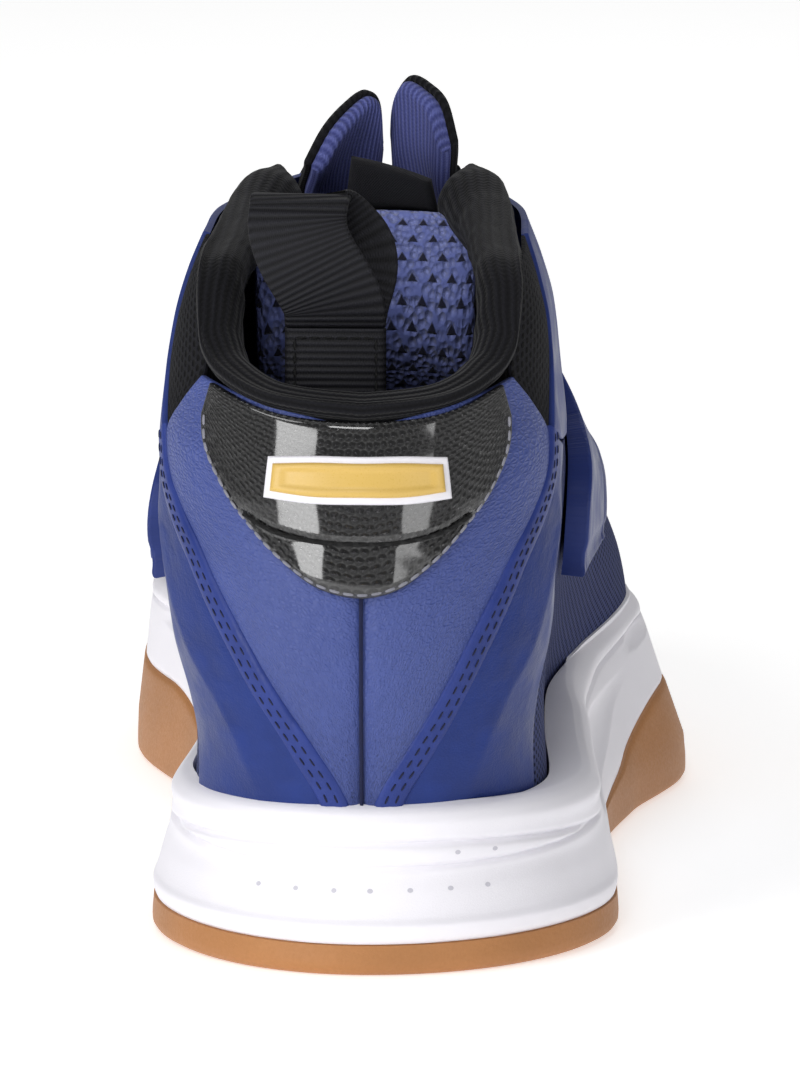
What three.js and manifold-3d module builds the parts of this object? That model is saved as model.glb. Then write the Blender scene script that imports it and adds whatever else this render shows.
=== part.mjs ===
// Basketball high top, right shoe, in millimetres. +Z is up, +Y points to the toe, +X is the lateral (outer) side.
// The origin lies on the ground under the middle of the sole.
//
// Every piece of the upper lies on one reference surface, which is a stack of closed foot contours: hull(phi, z).
// phi is 0 at the back of the heel and 180 degrees at the front, positive on the lateral side. Layers of the upper
// are patches of that surface between two depths, positive outward. The sole is a stack of rings round the foot.
import * as THREE from "three";
import { mergeVertices } from "three/addons/utils/BufferGeometryUtils.js";
import Module from "manifold-3d";

const wasm = await Module();
wasm.setup();

// Driving dimensions
const SOLE_LENGTH = 302;
const HEEL_Y = -SOLE_LENGTH / 2;
const TOE_SPRING = 11;
const SPRING_START = 205;
const GAP = 0.35;
const SKIN = 1.2;
const RUBBER = 4.5;
const RIM_BACK = 105.6;
const COLLAR_THICKNESS = 9;
const TONGUE_X = -2.5;
const STRAP_THICKNESS = 1.6;
const BOARD_THICKNESS = 1.5;
const SOCKLINER_THICKNESS = 4;
const WEBBING = 1.3;
const LOOP_WIDTH = 18.5;

const DEG = Math.PI / 180;
const lerp = (a, b, t) => a + (b - a) * t;
const clamp = (v, lo, hi) => Math.min(hi, Math.max(lo, v));
const smooth = (a, b, v) => {
  const t = clamp((v - a) / (b - a), 0, 1);
  return t * t * (3 - 2 * t);
};

// A smooth curve through [input, value] pairs that never overshoots them.
function profile(pairs) {
  const n = pairs.length;
  const slope = pairs.slice(1).map((p, i) => (p[1] - pairs[i][1]) / (p[0] - pairs[i][0]));
  const tangent = pairs.map((p, i) => {
    if (i === 0) return slope[0];
    if (i === n - 1) return slope[n - 2];
    const [a, b] = [slope[i - 1], slope[i]];
    return a * b <= 0 ? 0 : (2 * a * b) / (a + b);
  });
  return (v) => {
    if (v <= pairs[0][0]) return pairs[0][1];
    if (v >= pairs[n - 1][0]) return pairs[n - 1][1];
    const i = pairs.findIndex((p) => p[0] > v) - 1;
    const h = pairs[i + 1][0] - pairs[i][0];
    const t = (v - pairs[i][0]) / h;
    const [t2, t3] = [t * t, t * t * t];
    return (
      (2 * t3 - 3 * t2 + 1) * pairs[i][1] +
      (t3 - 2 * t2 + t) * h * tangent[i] +
      (3 * t2 - 2 * t3) * pairs[i + 1][1] +
      (t3 - t2) * h * tangent[i + 1]
    );
  };
}

// The foot: profiles up the height, from the ground. Lengths run forward from the back of the sole.
const backLine = profile([[10, 9], [33, 6], [58, 3.5], [85, 6], [104, 10], [125, 12], [165, 12]]);
const frontLine = profile([
  [10, 292], [30, 295], [44, 291], [54, 279], [61, 261], [67, 240], [75, 212],
  [84, 187], [95, 165], [106, 149], [120, 134], [138, 122], [165, 114],
]);
const heelWidthLateral = profile([
  [10, 28], [33, 30.5], [47, 32.5], [60, 34], [75, 35], [88, 35.2], [100, 34.2], [113, 33],
  [121, 31], [131, 27.5], [146, 23.5], [165, 20],
]);
const heelWidthMedial = profile([
  [10, 28], [33, 31], [44, 34], [60, 37], [75, 38.6], [91, 39], [104, 38], [113, 36.6],
  [121, 34.4], [131, 30.6], [146, 25.5], [165, 21],
]);
const ballWidthLateral = profile([[10, 45], [33, 46.5], [46, 45], [60, 40.5], [75, 36.5], [90, 34.5], [118, 32.5], [165, 24]]);
const ballWidthMedial = profile([[10, 47], [33, 49.5], [46, 48.5], [60, 44], [75, 39], [90, 36.5], [118, 33], [165, 24]]);
const heelRound = profile([[10, 36], [60, 40], [110, 40], [165, 36]]);
const toeRound = profile([[10, 84], [40, 78], [60, 70], [75, 76], [100, 66], [130, 52], [165, 44]]);
const centreLine = profile([[0, 0], [150, 0], [225, -4], [300, -13]]);
const halfGap = profile([[70, 12], [100, 11], [128, 7.5], [165, 4.5]]);
// The sole's half widths, and the heights of its edges, along its length
const soleLateral = profile([[0, 45], [45, 46], [85, 44], [112, 43], [145, 48], [186, 59], [222, 56], [262, 47], [302, 38]]);
const soleMedial = profile([[0, 40], [45, 40.5], [85, 38], [115, 35], [150, 39], [205, 52], [240, 50], [272, 44], [302, 36]]);
const lipHeight = profile([[0, 34], [30, 32.5], [62, 30], [100, 31], [150, 35], [185, 38], [235, 35], [275, 33], [302, 35]]);
const gumHeight = profile([[0, 8.5], [60, 7.5], [108, 7], [135, 10], [180, 20], [215, 20], [255, 15], [302, 19]]);
const floorHeight = profile([[0, 21], [90, 17.4], [196, 13.6], [302, 13]]);

const lift = (along) => TOE_SPRING * smooth(SPRING_START, SOLE_LENGTH + 40, along) * 1.6;
const round = (u) => (u >= 1 ? 1 : Math.sqrt(Math.max(0, 1 - (1 - u) ** 2)));
const place = (x, along, z) => new THREE.Vector3(x, HEEL_Y + along, z + lift(along));

const alongAt = (phi, z) => lerp(backLine(z), frontLine(z), (1 - Math.cos(phi)) / 2);
const phiAt = (along, z) => {
  const u = (along - backLine(z)) / (frontLine(z) - backLine(z));
  return Math.acos(clamp(1 - 2 * u, -1, 1));
};

// The upper stands inside the sole's edge low down, and takes its own shape above the midsole.
function sideWidth(phi, along, z) {
  const lateral = Math.sin(phi) >= 0;
  const ball = lateral ? ballWidthLateral(z) : ballWidthMedial(z);
  const heel = lateral ? heelWidthLateral(z) : heelWidthMedial(z);
  const waist = 3 * smooth(76, 100, z) * smooth(84, 112, along);
  const own = lerp(heel, ball, smooth(88, 190, along)) - waist;
  const inset = lateral ? lerp(13, 11, smooth(60, 170, along)) : 7.5;
  const seated = (lateral ? soleLateral(along) : soleMedial(along)) - inset;
  return lerp(seated, own, smooth(26, 58, z));
}

function hullPoint(phi, z) {
  const along = alongAt(phi, z);
  const ends = round((along - backLine(z)) / heelRound(z)) * round((frontLine(z) - along) / toeRound(z));
  const x = centreLine(along) + Math.sign(Math.sin(phi)) * sideWidth(phi, along, z) * ends;
  return new THREE.Vector3(x, HEEL_Y + along, z);
}

// The reference surface at a depth: positive outward, negative into the shoe.
function hull(phi, z, depth = 0) {
  const step = 0.004;
  const p = hullPoint(phi, z);
  if (depth !== 0) {
    const round1 = hullPoint(phi + step, z).sub(hullPoint(phi - step, z));
    const up = hullPoint(phi, z + 0.3).sub(hullPoint(phi, z - 0.3));
    p.addScaledVector(round1.cross(up).normalize(), depth);
  }
  return place(p.x, p.y - HEEL_Y, p.z);
}

// phi of the point near the front whose distance from the centre line is half; on the lateral side.
function phiFront(half, z) {
  const ratio = clamp(half / ballWidthLateral(z), 0, 0.98);
  return phiAt(frontLine(z) - toeRound(z) * (1 - Math.sqrt(1 - ratio * ratio)), z);
}
// phi of the point near the back at a distance from the centre line.
function phiBack(half, z) {
  const ratio = clamp(half / heelWidthLateral(z), 0, 0.98);
  return phiAt(backLine(z) + heelRound(z) * (1 - Math.sqrt(1 - ratio * ratio)), z);
}
const side = (along, z) => [phiAt(along, z), z];
const back = (half, z) => [phiBack(half, z), z];
const front = (half, z) => [phiFront(half, z), z];

// A curve through [phi, z] control points, as a function of t from 0 to 1.
function track(points) {
  const curve = new THREE.CatmullRomCurve3(points.map(([phi, z]) => new THREE.Vector3(phi * 60, z, 0)), false, "chordal");
  return (t) => {
    const p = curve.getPointAt(clamp(t, 0, 1));
    return [p.x / 60, p.y];
  };
}
const mirrored = (points) => points.map(([phi, z]) => [-phi, z]);
// A curve that runs from its lateral end over the front to its medial end.
const overFront = (points) => [...points, ...points.slice(0, -1).reverse().map(([phi, z]) => [2 * Math.PI - phi, z])];
const fullRound = (points) => [...mirrored(points).reverse().slice(0, -1), ...points];

// Turns a closed grid of rings into one solid. rows[i][j] is a point; capped ends are zipped across the ring.
function ringSolid(rows, capped) {
  const positions = rows.flat().flatMap((p) => [p.x, p.y, p.z]);
  const count = rows[0].length;
  const at = (i, j) => (i % rows.length) * count + (j % count);
  const index = [];
  const last = capped ? rows.length - 1 : rows.length;
  for (let i = 0; i < last; i++)
    for (let j = 0; j < count; j++)
      index.push(at(i, j), at(i, j + 1), at(i + 1, j + 1), at(i, j), at(i + 1, j + 1), at(i + 1, j));
  if (capped)
    for (const [row, flip] of [[0, true], [rows.length - 1, false]]) {
      for (let j = 0; j < count / 2 - 1; j++) {
        const [a, b, c, d] = [j, j + 1, count - 1 - j, count - 2 - j].map((k) => at(row, k));
        for (const tri of [[a, b, d], [a, d, c]]) index.push(...(flip ? tri.reverse() : tri));
      }
    }
  return new THREE.BufferGeometry()
    .setAttribute("position", new THREE.Float32BufferAttribute(positions, 3))
    .setIndex(index);
}

// Keeps a geometry closed and facing out, and drops what a boolean leaves behind.
function solidOf(geometry) {
  const bare = new THREE.BufferGeometry()
    .setAttribute("position", geometry.getAttribute("position"))
    .setIndex(geometry.index);
  const merged = mergeVertices(bare, 1e-3);
  const triVerts = new Uint32Array(merged.index.array);
  const vertProperties = merged.attributes.position.array;
  const solid = new wasm.Manifold(new wasm.Mesh({ numProp: 3, vertProperties, triVerts }));
  if (solid.volume() > 0) return solid;
  for (let i = 0; i < triVerts.length; i += 3) [triVerts[i + 1], triVerts[i + 2]] = [triVerts[i + 2], triVerts[i + 1]];
  return new wasm.Manifold(new wasm.Mesh({ numProp: 3, vertProperties, triVerts }));
}
function geometryOf(solid) {
  const { vertProperties, triVerts } = solid.getMesh();
  return new THREE.BufferGeometry()
    .setAttribute("position", new THREE.Float32BufferAttribute(vertProperties, 3))
    .setIndex([...triVerts]);
}

// A patch of the upper between two tracks, from one depth to another. Depths may be functions of (s, t).
function patch(trackA, trackB, columns, rows, inner, outer) {
  const depth = (d, s, t) => (typeof d === "function" ? d(s, t) : d);
  const sheet = (d) =>
    Array.from({ length: rows + 1 }, (_, r) => {
      const t = r / rows;
      return Array.from({ length: columns + 1 }, (_, c) => {
        const s = c / columns;
        const [[p0, z0], [p1, z1]] = [trackA(s), trackB(s)];
        return hull(lerp(p0, p1, t), lerp(z0, z1, t), depth(d, s, t));
      });
    });
  const [low, high] = [sheet(inner), sheet(outer)];
  const rings = low.map((row, r) => [...row, ...high[r].slice().reverse()]);
  return geometryOf(solidOf(stripSolid(rings)));
}

// Rings of a flat closed section, such as a patch's rows: the ends are zipped between the two halves of the ring.
function stripSolid(rings) {
  return ringSolid(rings, true);
}

const root = new THREE.Group();
const colours = {
  blue: [0x4a5aa0, 0.5], leather: [0x5563a8, 0.45], mesh: [0x46528f, 0.8], knit: [0x1c1b20, 0.9],
  black: [0x202024, 0.6], gloss: [0x2b2b30, 0.2], lining: [0x5c66a8, 0.85], white: [0xf0eef6, 0.6],
  gum: [0xb07a4a, 0.55], board: [0xd8d2c4, 0.9], plate: [0x30343c, 0.4], steel: [0x26262a, 0.35],
};
function add(name, colour, geometry) {
  const [color, roughness] = colours[colour];
  const metalness = colour === "steel" ? 0.6 : 0;
  const flat = geometry.index ? geometry.toNonIndexed() : geometry;
  flat.computeVertexNormals();
  const mesh = new THREE.Mesh(flat, new THREE.MeshStandardMaterial({ color, roughness, metalness }));
  mesh.name = name;
  root.add(mesh);
  return mesh;
}
const bothSides = (make) => [["lateral", (p) => p], ["medial", mirrored]].forEach(([name, turn]) => make(name, turn));

// Sole
const RING = 60;
const ringAngles = Array.from({ length: RING }, (_, i) => -Math.PI + ((i + 0.5) * 2 * Math.PI) / RING);

// grow may be a number or a function of the place along the sole, the height and the side (true: lateral).
function solePoint(phi, grow, heightOf) {
  const middle = clamp(lerp(0, SOLE_LENGTH, (1 - Math.cos(phi)) / 2), 0, SOLE_LENGTH);
  const lateral = Math.sin(phi) >= 0;
  const out = typeof grow === "function" ? grow(middle, heightOf(middle), lateral) : grow;
  const [y0, y1] = [-out, SOLE_LENGTH + out];
  const along = lerp(y0, y1, (1 - Math.cos(phi)) / 2);
  const width = (lateral ? soleLateral(along) : soleMedial(along)) + out;
  const ends = round((along - y0) / 46) * round((y1 - along) / 74);
  const x = centreLine(along) + Math.sign(Math.sin(phi)) * width * ends;
  return place(x, along, heightOf(clamp(along, 0, SOLE_LENGTH)));
}
// Forward of the arch the walls lean in as they rise, most on the lateral side.
const lean = (along, z, lateral) => (lateral ? -0.33 : -0.1) * Math.max(0, z - 8) * smooth(95, 150, along);
const soleRing = (grow, heightOf) => ringAngles.map((phi) => solePoint(phi, grow, heightOf));
const upperRing = (depth, heightOf) =>
  ringAngles.map((phi) => {
    const guess = alongAt(phi, 25);
    return hull(phi, heightOf(guess), depth);
  });

// Flex grooves cut across the tread, with a solid stretch under the arch for the rest face.
function treadGrooves() {
  const stations = [22, 34, 46, 58, 176, 190, 204, 218];
  return stations.map((along) => {
    const bar = new THREE.BoxGeometry(150, 2.4, 3);
    bar.translate(0, HEEL_Y + along, 0);
    return solidOf(bar);
  });
}
function outsole() {
  const wall = (grow, share) => soleRing((a, z, side) => grow + lean(a, z, side), (a) => lerp(2.4, gumHeight(a), share));
  const rings = [
    soleRing(-5, () => 0),
    soleRing(-1.3, () => 2.4),
    wall(-0.1, 0.55),
    wall(-0.4, 1),
    wall(-3.4, 1),
    soleRing(-6, () => RUBBER),
  ];
  let solid = solidOf(ringSolid(rings, true));
  for (const groove of treadGrooves()) solid = solid.subtract(groove);
  return geometryOf(solid);
}
function midsole() {
  const grown = (heel) => (a, z, side) => lerp(heel, -0.6, smooth(95, 150, a)) + lean(a, z, side);
  const wall = (grow, share) => soleRing(grown(grow), (a) => lerp(gumHeight(a) + GAP, lipHeight(a), share));
  const rings = [
    soleRing(-7.6, () => RUBBER + GAP),
    soleRing((a, z, side) => lean(a, z, side) - 4.3, (a) => gumHeight(a)),
    soleRing((a, z, side) => lean(a, z, side) - 4.2, (a) => gumHeight(a) + GAP),
    wall(-1, 0.01),
    wall(-1.9, 0.3),
    wall(-5, 0.6),
    wall(-4.6, 0.8),
    wall(-6, 0.97),
    upperRing(1.1, (a) => lipHeight(a)),
    upperRing(1.1, (a) => lerp(floorHeight(a), lipHeight(a), 0.5)),
    upperRing(1.1, (a) => floorHeight(a)),
  ];
  return geometryOf(solidOf(ringSolid(rings, true)));
}
add("outsole", "gum", outsole());
add("midsole", "white", midsole());

function plate(bottom, top, depth) {
  return geometryOf(solidOf(ringSolid([upperRing(depth, bottom), upperRing(depth, top)], true)));
}
const boardTop = (a) => floorHeight(a) + GAP + BOARD_THICKNESS;
add("strobel_board", "board", plate((a) => floorHeight(a) + GAP, boardTop, -7.4));
add("sockliner", "black", plate((a) => boardTop(a) + GAP, (a) => boardTop(a) + GAP + SOCKLINER_THICKNESS, -9));

// Depths of the layers of the upper, outermost last
const LINING = [-6.2, -5];
const STIFFENER = [-3.4, -2];
const BASE = [-SKIN, 0];
const OVERLAY = [0.6, 1.8];
const BADGE = [2.3, 3.3];

// Tracks shared by neighbouring panels. Each is a list of [phi, z] on the lateral side, from the sole upwards.
const low = (along) => side(along, floorHeight(along) + GAP);
const shift = (points, ahead) => points.map(([phi, z]) => [phi + ahead / 90, z]);
const raise = (points, up) => points.map(([phi, z]) => [phi, z + up]);
const midway = ([p0, z0], [p1, z1], t) => [lerp(p0, p1, t), lerp(z0, z1, t)];
const centreSeam = [21.5, 33, 45, 58, 71, 84, 99.2].map((z) => [0.012, z]);
const vSeam = [
  [0.05, 21.5], [0.05, 31], [0.14, 40], [0.235, 49], [0.32, 58], [0.43, 67], [0.53, 74], [0.67, 81],
  [0.8, 87.5], [0.88, 93.5],
];
const heelPanelEdge = [...shift(vSeam, -0.75), [0.79, 101], [0.69, 106.8]];
const sideFront = [[0.6, 20.6], [0.61, 31], [0.65, 48], [0.74, 60], [0.8, 72], [0.98, 82], [1.2, 88.5]];
const vampSeam = [low(196), front(22, 72)];
const vampLine = [0, 0.25, 0.5, 0.75, 1].map((t) => midway(...vampSeam, t));

// Heel: two leather panels meeting at a centre seam, inside the V of the side panels.
bothSides((name, turn) => {
  const [inner, outer] = [track(turn(centreSeam)), track(turn(heelPanelEdge))];
  add("heel_panel_" + name, "leather", patch(inner, outer, 13, 5, ...BASE));
  const [rear, fore] = [track(turn(shift(vSeam, 0.55))), track(turn(sideFront))];
  add("side_panel_" + name, "blue", patch(rear, fore, 10, 4, ...BASE));
});
// Quarters: mesh from the side panels to the vamp line, with the eyestay and the ankle mesh above.
const [eyestayFoot, eyestayTurn] = [front(22, 72.7), [1.2, 89.4]];
const eyestayTop = [front(5, 133.5), [2.3, 131], [2, 129.5], [1.72, 128.2], [1.45, 127]];
bothSides((name, turn) => {
  const [rear, fore] = [track(turn(shift(sideFront, 0.9))), track(turn(shift(vampLine, -0.5)))];
  add("quarter_mesh_" + name, "mesh", patch(rear, fore, 12, 12, ...BASE));
  const rising = [0, 0.35, 0.7, 1].map((t) => midway(eyestayFoot, eyestayTurn, t));
  const seam = [...rising, [0.92, 95]];
  add("eyestay_" + name, "blue", patch(track(turn(seam)), track(turn(eyestayTop)), 13, 6, ...BASE));
  const insetRear = [[0.815, 102.4], [0.725, 108.6], [0.765, 113], [0.865, 120], [0.98, 125.4]];
  const insetFront = [[0.89, 96.4], [1.42, 127]];
  add("ankle_mesh_" + name, "black", patch(track(turn(insetRear)), track(turn(insetFront)), 8, 3, ...BASE));
});

// Vamp over the toe, with its synthetic toe cap and the stiffener behind it.
const vampBottom = overFront([low(196.5), low(230), low(262), low(284), [Math.PI, floorHeight(295) + GAP]]);
const vampTop = overFront([front(21.5, 71), front(17, 71.4), front(11, 71.6), front(5, 71.7), [Math.PI, 71.7]]);
add("vamp_mesh", "mesh", patch(track(vampBottom), track(vampTop), 24, 7, ...BASE));
const onLip = (along) => side(along, lipHeight(along) + 0.6);
const capBottom = overFront([onLip(216), onLip(250), onLip(278), [Math.PI, 35.6]]);
const capTop = overFront([side(214, 41), side(238, 47), side(262, 53), front(12, 60), [Math.PI, 61]]);
add("toe_cap", "blue", patch(track(capBottom), track(capTop), 28, 4, 1.4, 2.4));
const puffBottom = overFront([side(240, 17), side(262, 17), side(280, 17), [Math.PI, 17]]);
const puffTop = overFront([side(240, 40), side(258, 48), front(12, 55), [Math.PI, 56]]);
add("toe_puff", "board", patch(track(puffBottom), track(puffTop), 18, 3, ...STIFFENER));

// Heel counter, and the linings that close the inside.
const counterBottom = fullRound([[0, 22.5], side(30, 22.5), side(70, 22.5)]);
const counterTop = fullRound([[0, 64], side(30, 63), side(70, 44)]);
add("heel_counter", "board", patch(track(counterBottom), track(counterTop), 16, 3, ...STIFFENER));
const heelLiningTop = fullRound([[0, 78], side(30, 78), side(66, 82)]);
const heelLiningLow = fullRound([[0, 22], side(30, 22), low(66)]);
add("heel_lining", "knit", patch(track(heelLiningLow), track(heelLiningTop), 18, 4, ...LINING));
bothSides((name, turn) => {
  const bottom = [low(67), low(100), low(140), low(190)];
  const top = [side(66.6, 82), side(90, 84), side(130, 80), front(24, 70)];
  add("quarter_lining_" + name, "knit", patch(track(turn(bottom)), track(turn(top)), 9, 5, ...LINING));
});
const liningBottom = overFront([low(191), low(225), low(258), low(282), [Math.PI, floorHeight(290) + GAP]]);
const liningTop = overFront([front(23, 69), front(16, 69), front(8, 69), [Math.PI, 69]]);
add("vamp_lining", "knit", patch(track(liningBottom), track(liningTop), 20, 6, ...LINING));

// Collar: a padded roll from one ankle round the heel to the other. Its outer edge follows the top of the panels.
const collarEdge = profile([
  [0, 101], [0.3, 102.4], [0.6, 106.8], [0.7, 110], [0.76, 114], [0.86, 121.3], [0.94, 125.8], [1.02, 127.6],
  [1.2, 128.6], [1.5, 129.2], [1.75, 130], [2, 131], [2.3, 132.4],
]);
const collarTop = profile([
  [0, RIM_BACK], [0.3, RIM_BACK + 0.8], [0.6, 110.9], [0.7, 115], [0.8, 121.4], [0.9, 128], [1, 131.4], [1.2, 132.6],
  [1.45, 133.2], [1.72, 134.6], [2, 136.6], [2.3, 138.2],
]);
function collarSection(phi) {
  const turn = Math.abs(phi);
  const [edge, top] = [collarEdge(turn) + 0.9, collarTop(turn)];
  const foot = lerp(80, 96, smooth(0.5, 1.5, turn));
  const outline = [
    [-3.8, edge + 0.2], [-0.8, edge], [0.4, lerp(edge, top, 0.3)], [0, lerp(edge, top, 0.6)],
    [-1.8, top - 0.6], [-4, top], [-6.2, top - 1], [-8, top - 4], [-COLLAR_THICKNESS, top - 10],
    [-8.8, lerp(foot, top, 0.4)], [-7, foot], [-5.4, foot + 1], [-3.7, lerp(foot, edge, 0.5)], [-3.8, edge - 0.8],
  ];
  const sunk = 1.2 * smooth(1.55, 1.85, turn);
  return outline.map(([depth, z]) => hull(phi, z, depth - sunk));
}
const COLLAR_END = 1.88;
const collarAngles = Array.from({ length: 35 }, (_, i) => lerp(-COLLAR_END, COLLAR_END, i / 34));
add("collar_roll", "knit", geometryOf(solidOf(ringSolid(collarAngles.map(collarSection), true))));

// Heel patch and a plain raised badge on it.
const patchLow = fullRound([
  [0, 69], [0.11, 70.6], [0.22, 74.6], [0.35, 81], [0.48, 88.3], [0.575, 95.5], [0.605, 100],
]);
const patchTop = fullRound([[0, 100], [0.3, 101.2], [0.595, 105]]);
add("heel_patch", "gloss", patch(track(patchLow), track(patchTop), 18, 4, ...OVERLAY));
const badgeLow = fullRound([[0, 86.3], [0.16, 86.3], [0.32, 86.9]]);
const badgeTop = fullRound([[0, 94.2], [0.16, 94.2], [0.32, 93.6]]);
add("heel_badge", "gloss", patch(track(badgeLow), track(badgeTop), 10, 1, ...BADGE));

// Collar tips: two tall rounded flaps at the front of the collar, inside the eyestays.
const TIP = [-6.6, -2];
const tipRear = COLLAR_END + 0.1;
const tipFoot = [front(5, 127), front(10, 125), [tipRear, 122.5]];
const tipTops = {
  lateral: [front(1.8, 141), front(2.6, 145.4), front(5.6, 150), front(10.5, 148.8), [tipRear, 143]],
  medial: [front(1.2, 139.5), front(2.6, 146), front(6.6, 148.8), front(12.4, 144.6), [tipRear, 139]],
};
bothSides((name, turn) => {
  add("collar_tip_" + name, "lining", patch(track(turn(tipFoot)), track(turn(tipTops[name])), 7, 5, ...TIP));
});

// Tongue: a foam core between an outer fabric and a mesh lining, with a woven band along its top. In side view its
// middle follows the throat and then leans back into the ankle opening. Points are [along, z].
const TONGUE_LINE = [[203, 70.5], [182, 79], [160, 89.5], [141, 99.5], [124, 110], [109, 119], [97, 127.5]];
const BAND_LINE = [[96.2, 129], [95.4, 132.6], [95, 136.2]];
function tongueSheet(line, halfFoot, halfTop, rows, inner, outer, centre = TONGUE_X) {
  const curve = new THREE.CatmullRomCurve3(line.map(([along, z]) => new THREE.Vector3(0, along, z)), false, "chordal");
  const columns = 8;
  const rings = Array.from({ length: rows + 1 }, (_, r) => {
    const t = r / rows;
    const [p, ahead] = [curve.getPointAt(t), curve.getTangentAt(t)];
    const out = new THREE.Vector3(0, ahead.z, -ahead.y);
    const half = lerp(halfFoot, halfTop, t);
    const across = Array.from({ length: columns + 1 }, (_, c) => lerp(-1, 1, c / columns));
    const at = (u, depth) => {
      const bend = depth - (line === BAND_LINE ? 2 : lerp(5, 7, t)) * u * u;
      return place(centre + u * half, p.y + out.y * bend, p.z + out.z * bend);
    };
    return [...across.map((u) => at(u, inner)), ...across.reverse().map((u) => at(u, outer))];
  });
  return geometryOf(solidOf(stripSolid(rings)));
}
add("tongue_face", "black", tongueSheet(TONGUE_LINE, 18, 15, 7, 2.9, 3.9));
add("tongue_foam", "board", tongueSheet(TONGUE_LINE, 18, 15, 7, -3.6, 2.5));
add("tongue_lining", "mesh", tongueSheet(TONGUE_LINE, 18, 15, 7, -5.1, -4));
add("tongue_top_band", "black", tongueSheet(BAND_LINE, 9.5, 8.5, 2, -2.2, 1.6, 0.5));

// Laces: five crosses over the throat, each of two bands that meet in the middle.
const LACE = [0.6, 1.6];
const LACE_ROWS = [77, 85, 95, 107, 120, 133];
const LACE_HALF = 2.2;
function laceBand(from, to, flip) {
  const [a, b] = [front(16, from), front(16, to)];
  const ends = [[a[0], from], [2 * Math.PI - b[0], to]];
  const middle = [Math.PI, (from + to) / 2];
  const line = [ends[0], middle, ends[1]].map(([phi, z]) => (flip ? [2 * Math.PI - phi, z] : [phi, z]));
  return patch(track(raise(line, -LACE_HALF)), track(raise(line, LACE_HALF)), 6, 1, ...LACE);
}
LACE_ROWS.slice(0, -1).forEach((z, i) => {
  const [from, to] = [z + LACE_HALF + 0.3, LACE_ROWS[i + 1] - LACE_HALF - 0.3];
  const bands = [false, true].map((flip) => solidOf(laceBand(from, to, flip)));
  add("lace_cross_" + (i + 1), "black", geometryOf(bands[0].add(bands[1])));
});
// Reinforcing strips behind the eyelets.
bothSides((name, turn) => {
  const [inner, outer] = [[front(19, 76), front(11, 119)], [front(28, 78), front(19, 118)]];
  add("eyelet_strip_" + name, "plate", patch(track(turn(inner)), track(turn(outer)), 6, 1, -2.3, -1.6));
});

// Strap over the instep: sewn down on the medial side, with a flap on the lateral side closed by hook and loop.
// It lies close to the sides and rides over the laces.
const flapDepth = (extra) => (s) => lerp(3.3, 2.3, smooth(0.35, 0.8, s)) + extra;
const baseDepth = (extra) => (s) => lerp(2.3, 3.3, smooth(0.6, 0.85, s)) + extra;
const strapFore = [side(136, 57), side(150, 66), side(160, 76), front(17, 86)];
const strapRear = [side(98, 59), side(98, 74), side(104, 92), front(17, 112)];
const strapPatch = (fore, rear, columns, depths) => patch(track(fore), track(rear), columns, 4, ...depths);
const overInstep = (half, top, points) => {
  const flip = mirrored([...points].reverse()).map(([phi, z]) => [2 * Math.PI + phi, z]);
  return [[half[0], half[1]], [Math.PI, top], ...flip];
};
const baseFore = overInstep(front(16, 86.3), 88.5, strapFore);
const baseRear = overInstep(front(16, 112.4), 117, strapRear);
add("strap_base", "blue", strapPatch(baseFore, baseRear, 18, [baseDepth(0), baseDepth(STRAP_THICKNESS)]));
add("strap_flap", "blue", strapPatch(strapFore, strapRear, 10, [flapDepth(0), flapDepth(STRAP_THICKNESS)]));
const [padFore, padRear] = [[side(134, 58), side(147, 67)], [side(100, 60), side(100, 72)]];
add("strap_hook_pad", "black", strapPatch(padFore, padRear, 3, [1.75, 2.6]));
add("strap_loop_pad", "black", strapPatch(padFore, padRear, 3, [0.3, 1.4]));
add("strap_anchor", "blue", strapPatch(mirrored(padFore), mirrored(padRear), 3, [0.3, 2.6]));

// Pull loop at the heel: a sewn stem inside the rim, and an open eye of folded webbing above it.
const LOOP_X = -5.5;
const LOOP_Y = HEEL_Y + 25;
const LOOP_HINGE_Z = 115.5;
const LOOP_TOP = 140;
const stem = new THREE.BoxGeometry(LOOP_WIDTH, 2 * WEBBING, LOOP_HINGE_Z - 92);
stem.translate(LOOP_X, LOOP_Y, (LOOP_HINGE_Z + 92) / 2);
add("pull_loop_stem", "black", stem);

// The eye is one closed band of webbing: rings of a flat section along a lens-shaped path.
function webbingEye() {
  const path = Array.from({ length: 28 }, (_, i) => {
    const turn = (i / 28) * 2 * Math.PI;
    const height = (1 - Math.cos(turn)) / 2;
    const foot = LOOP_HINGE_Z + 0.4 + WEBBING;
    const y = LOOP_Y + 5.2 * Math.sin(turn) * lerp(0.75, 1.1, height);
    return new THREE.Vector3(LOOP_X, y, lerp(foot, LOOP_TOP - WEBBING / 2, height));
  });
  const rows = path.map((p, i) => {
    const ahead = path[(i + 1) % path.length].clone().sub(path.at(i - 1)).normalize();
    const out = new THREE.Vector3(0, ahead.z, -ahead.y).multiplyScalar(WEBBING / 2);
    return [[-1, -1], [1, -1], [1, 1], [-1, 1]].map(([across, away]) =>
      p.clone().addScaledVector(out, away).add(new THREE.Vector3((across * LOOP_WIDTH) / 2, 0, 0)));
  });
  return geometryOf(solidOf(ringSolid(rows, false)));
}
add("pull_loop", "black", webbingEye());

export default root;
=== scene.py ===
"""Basketball high top, right shoe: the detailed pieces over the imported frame.

Lengths are in millimetres until a mesh is made. x is to the lateral side, "along" runs forward from the back
of the sole, z is up. The upper is described by hull(phi, z, depth): a stack of closed contours round the foot,
phi 0 at the back of the heel and pi at the toe, positive on the lateral side, depth positive outward.
"""
import math

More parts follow.
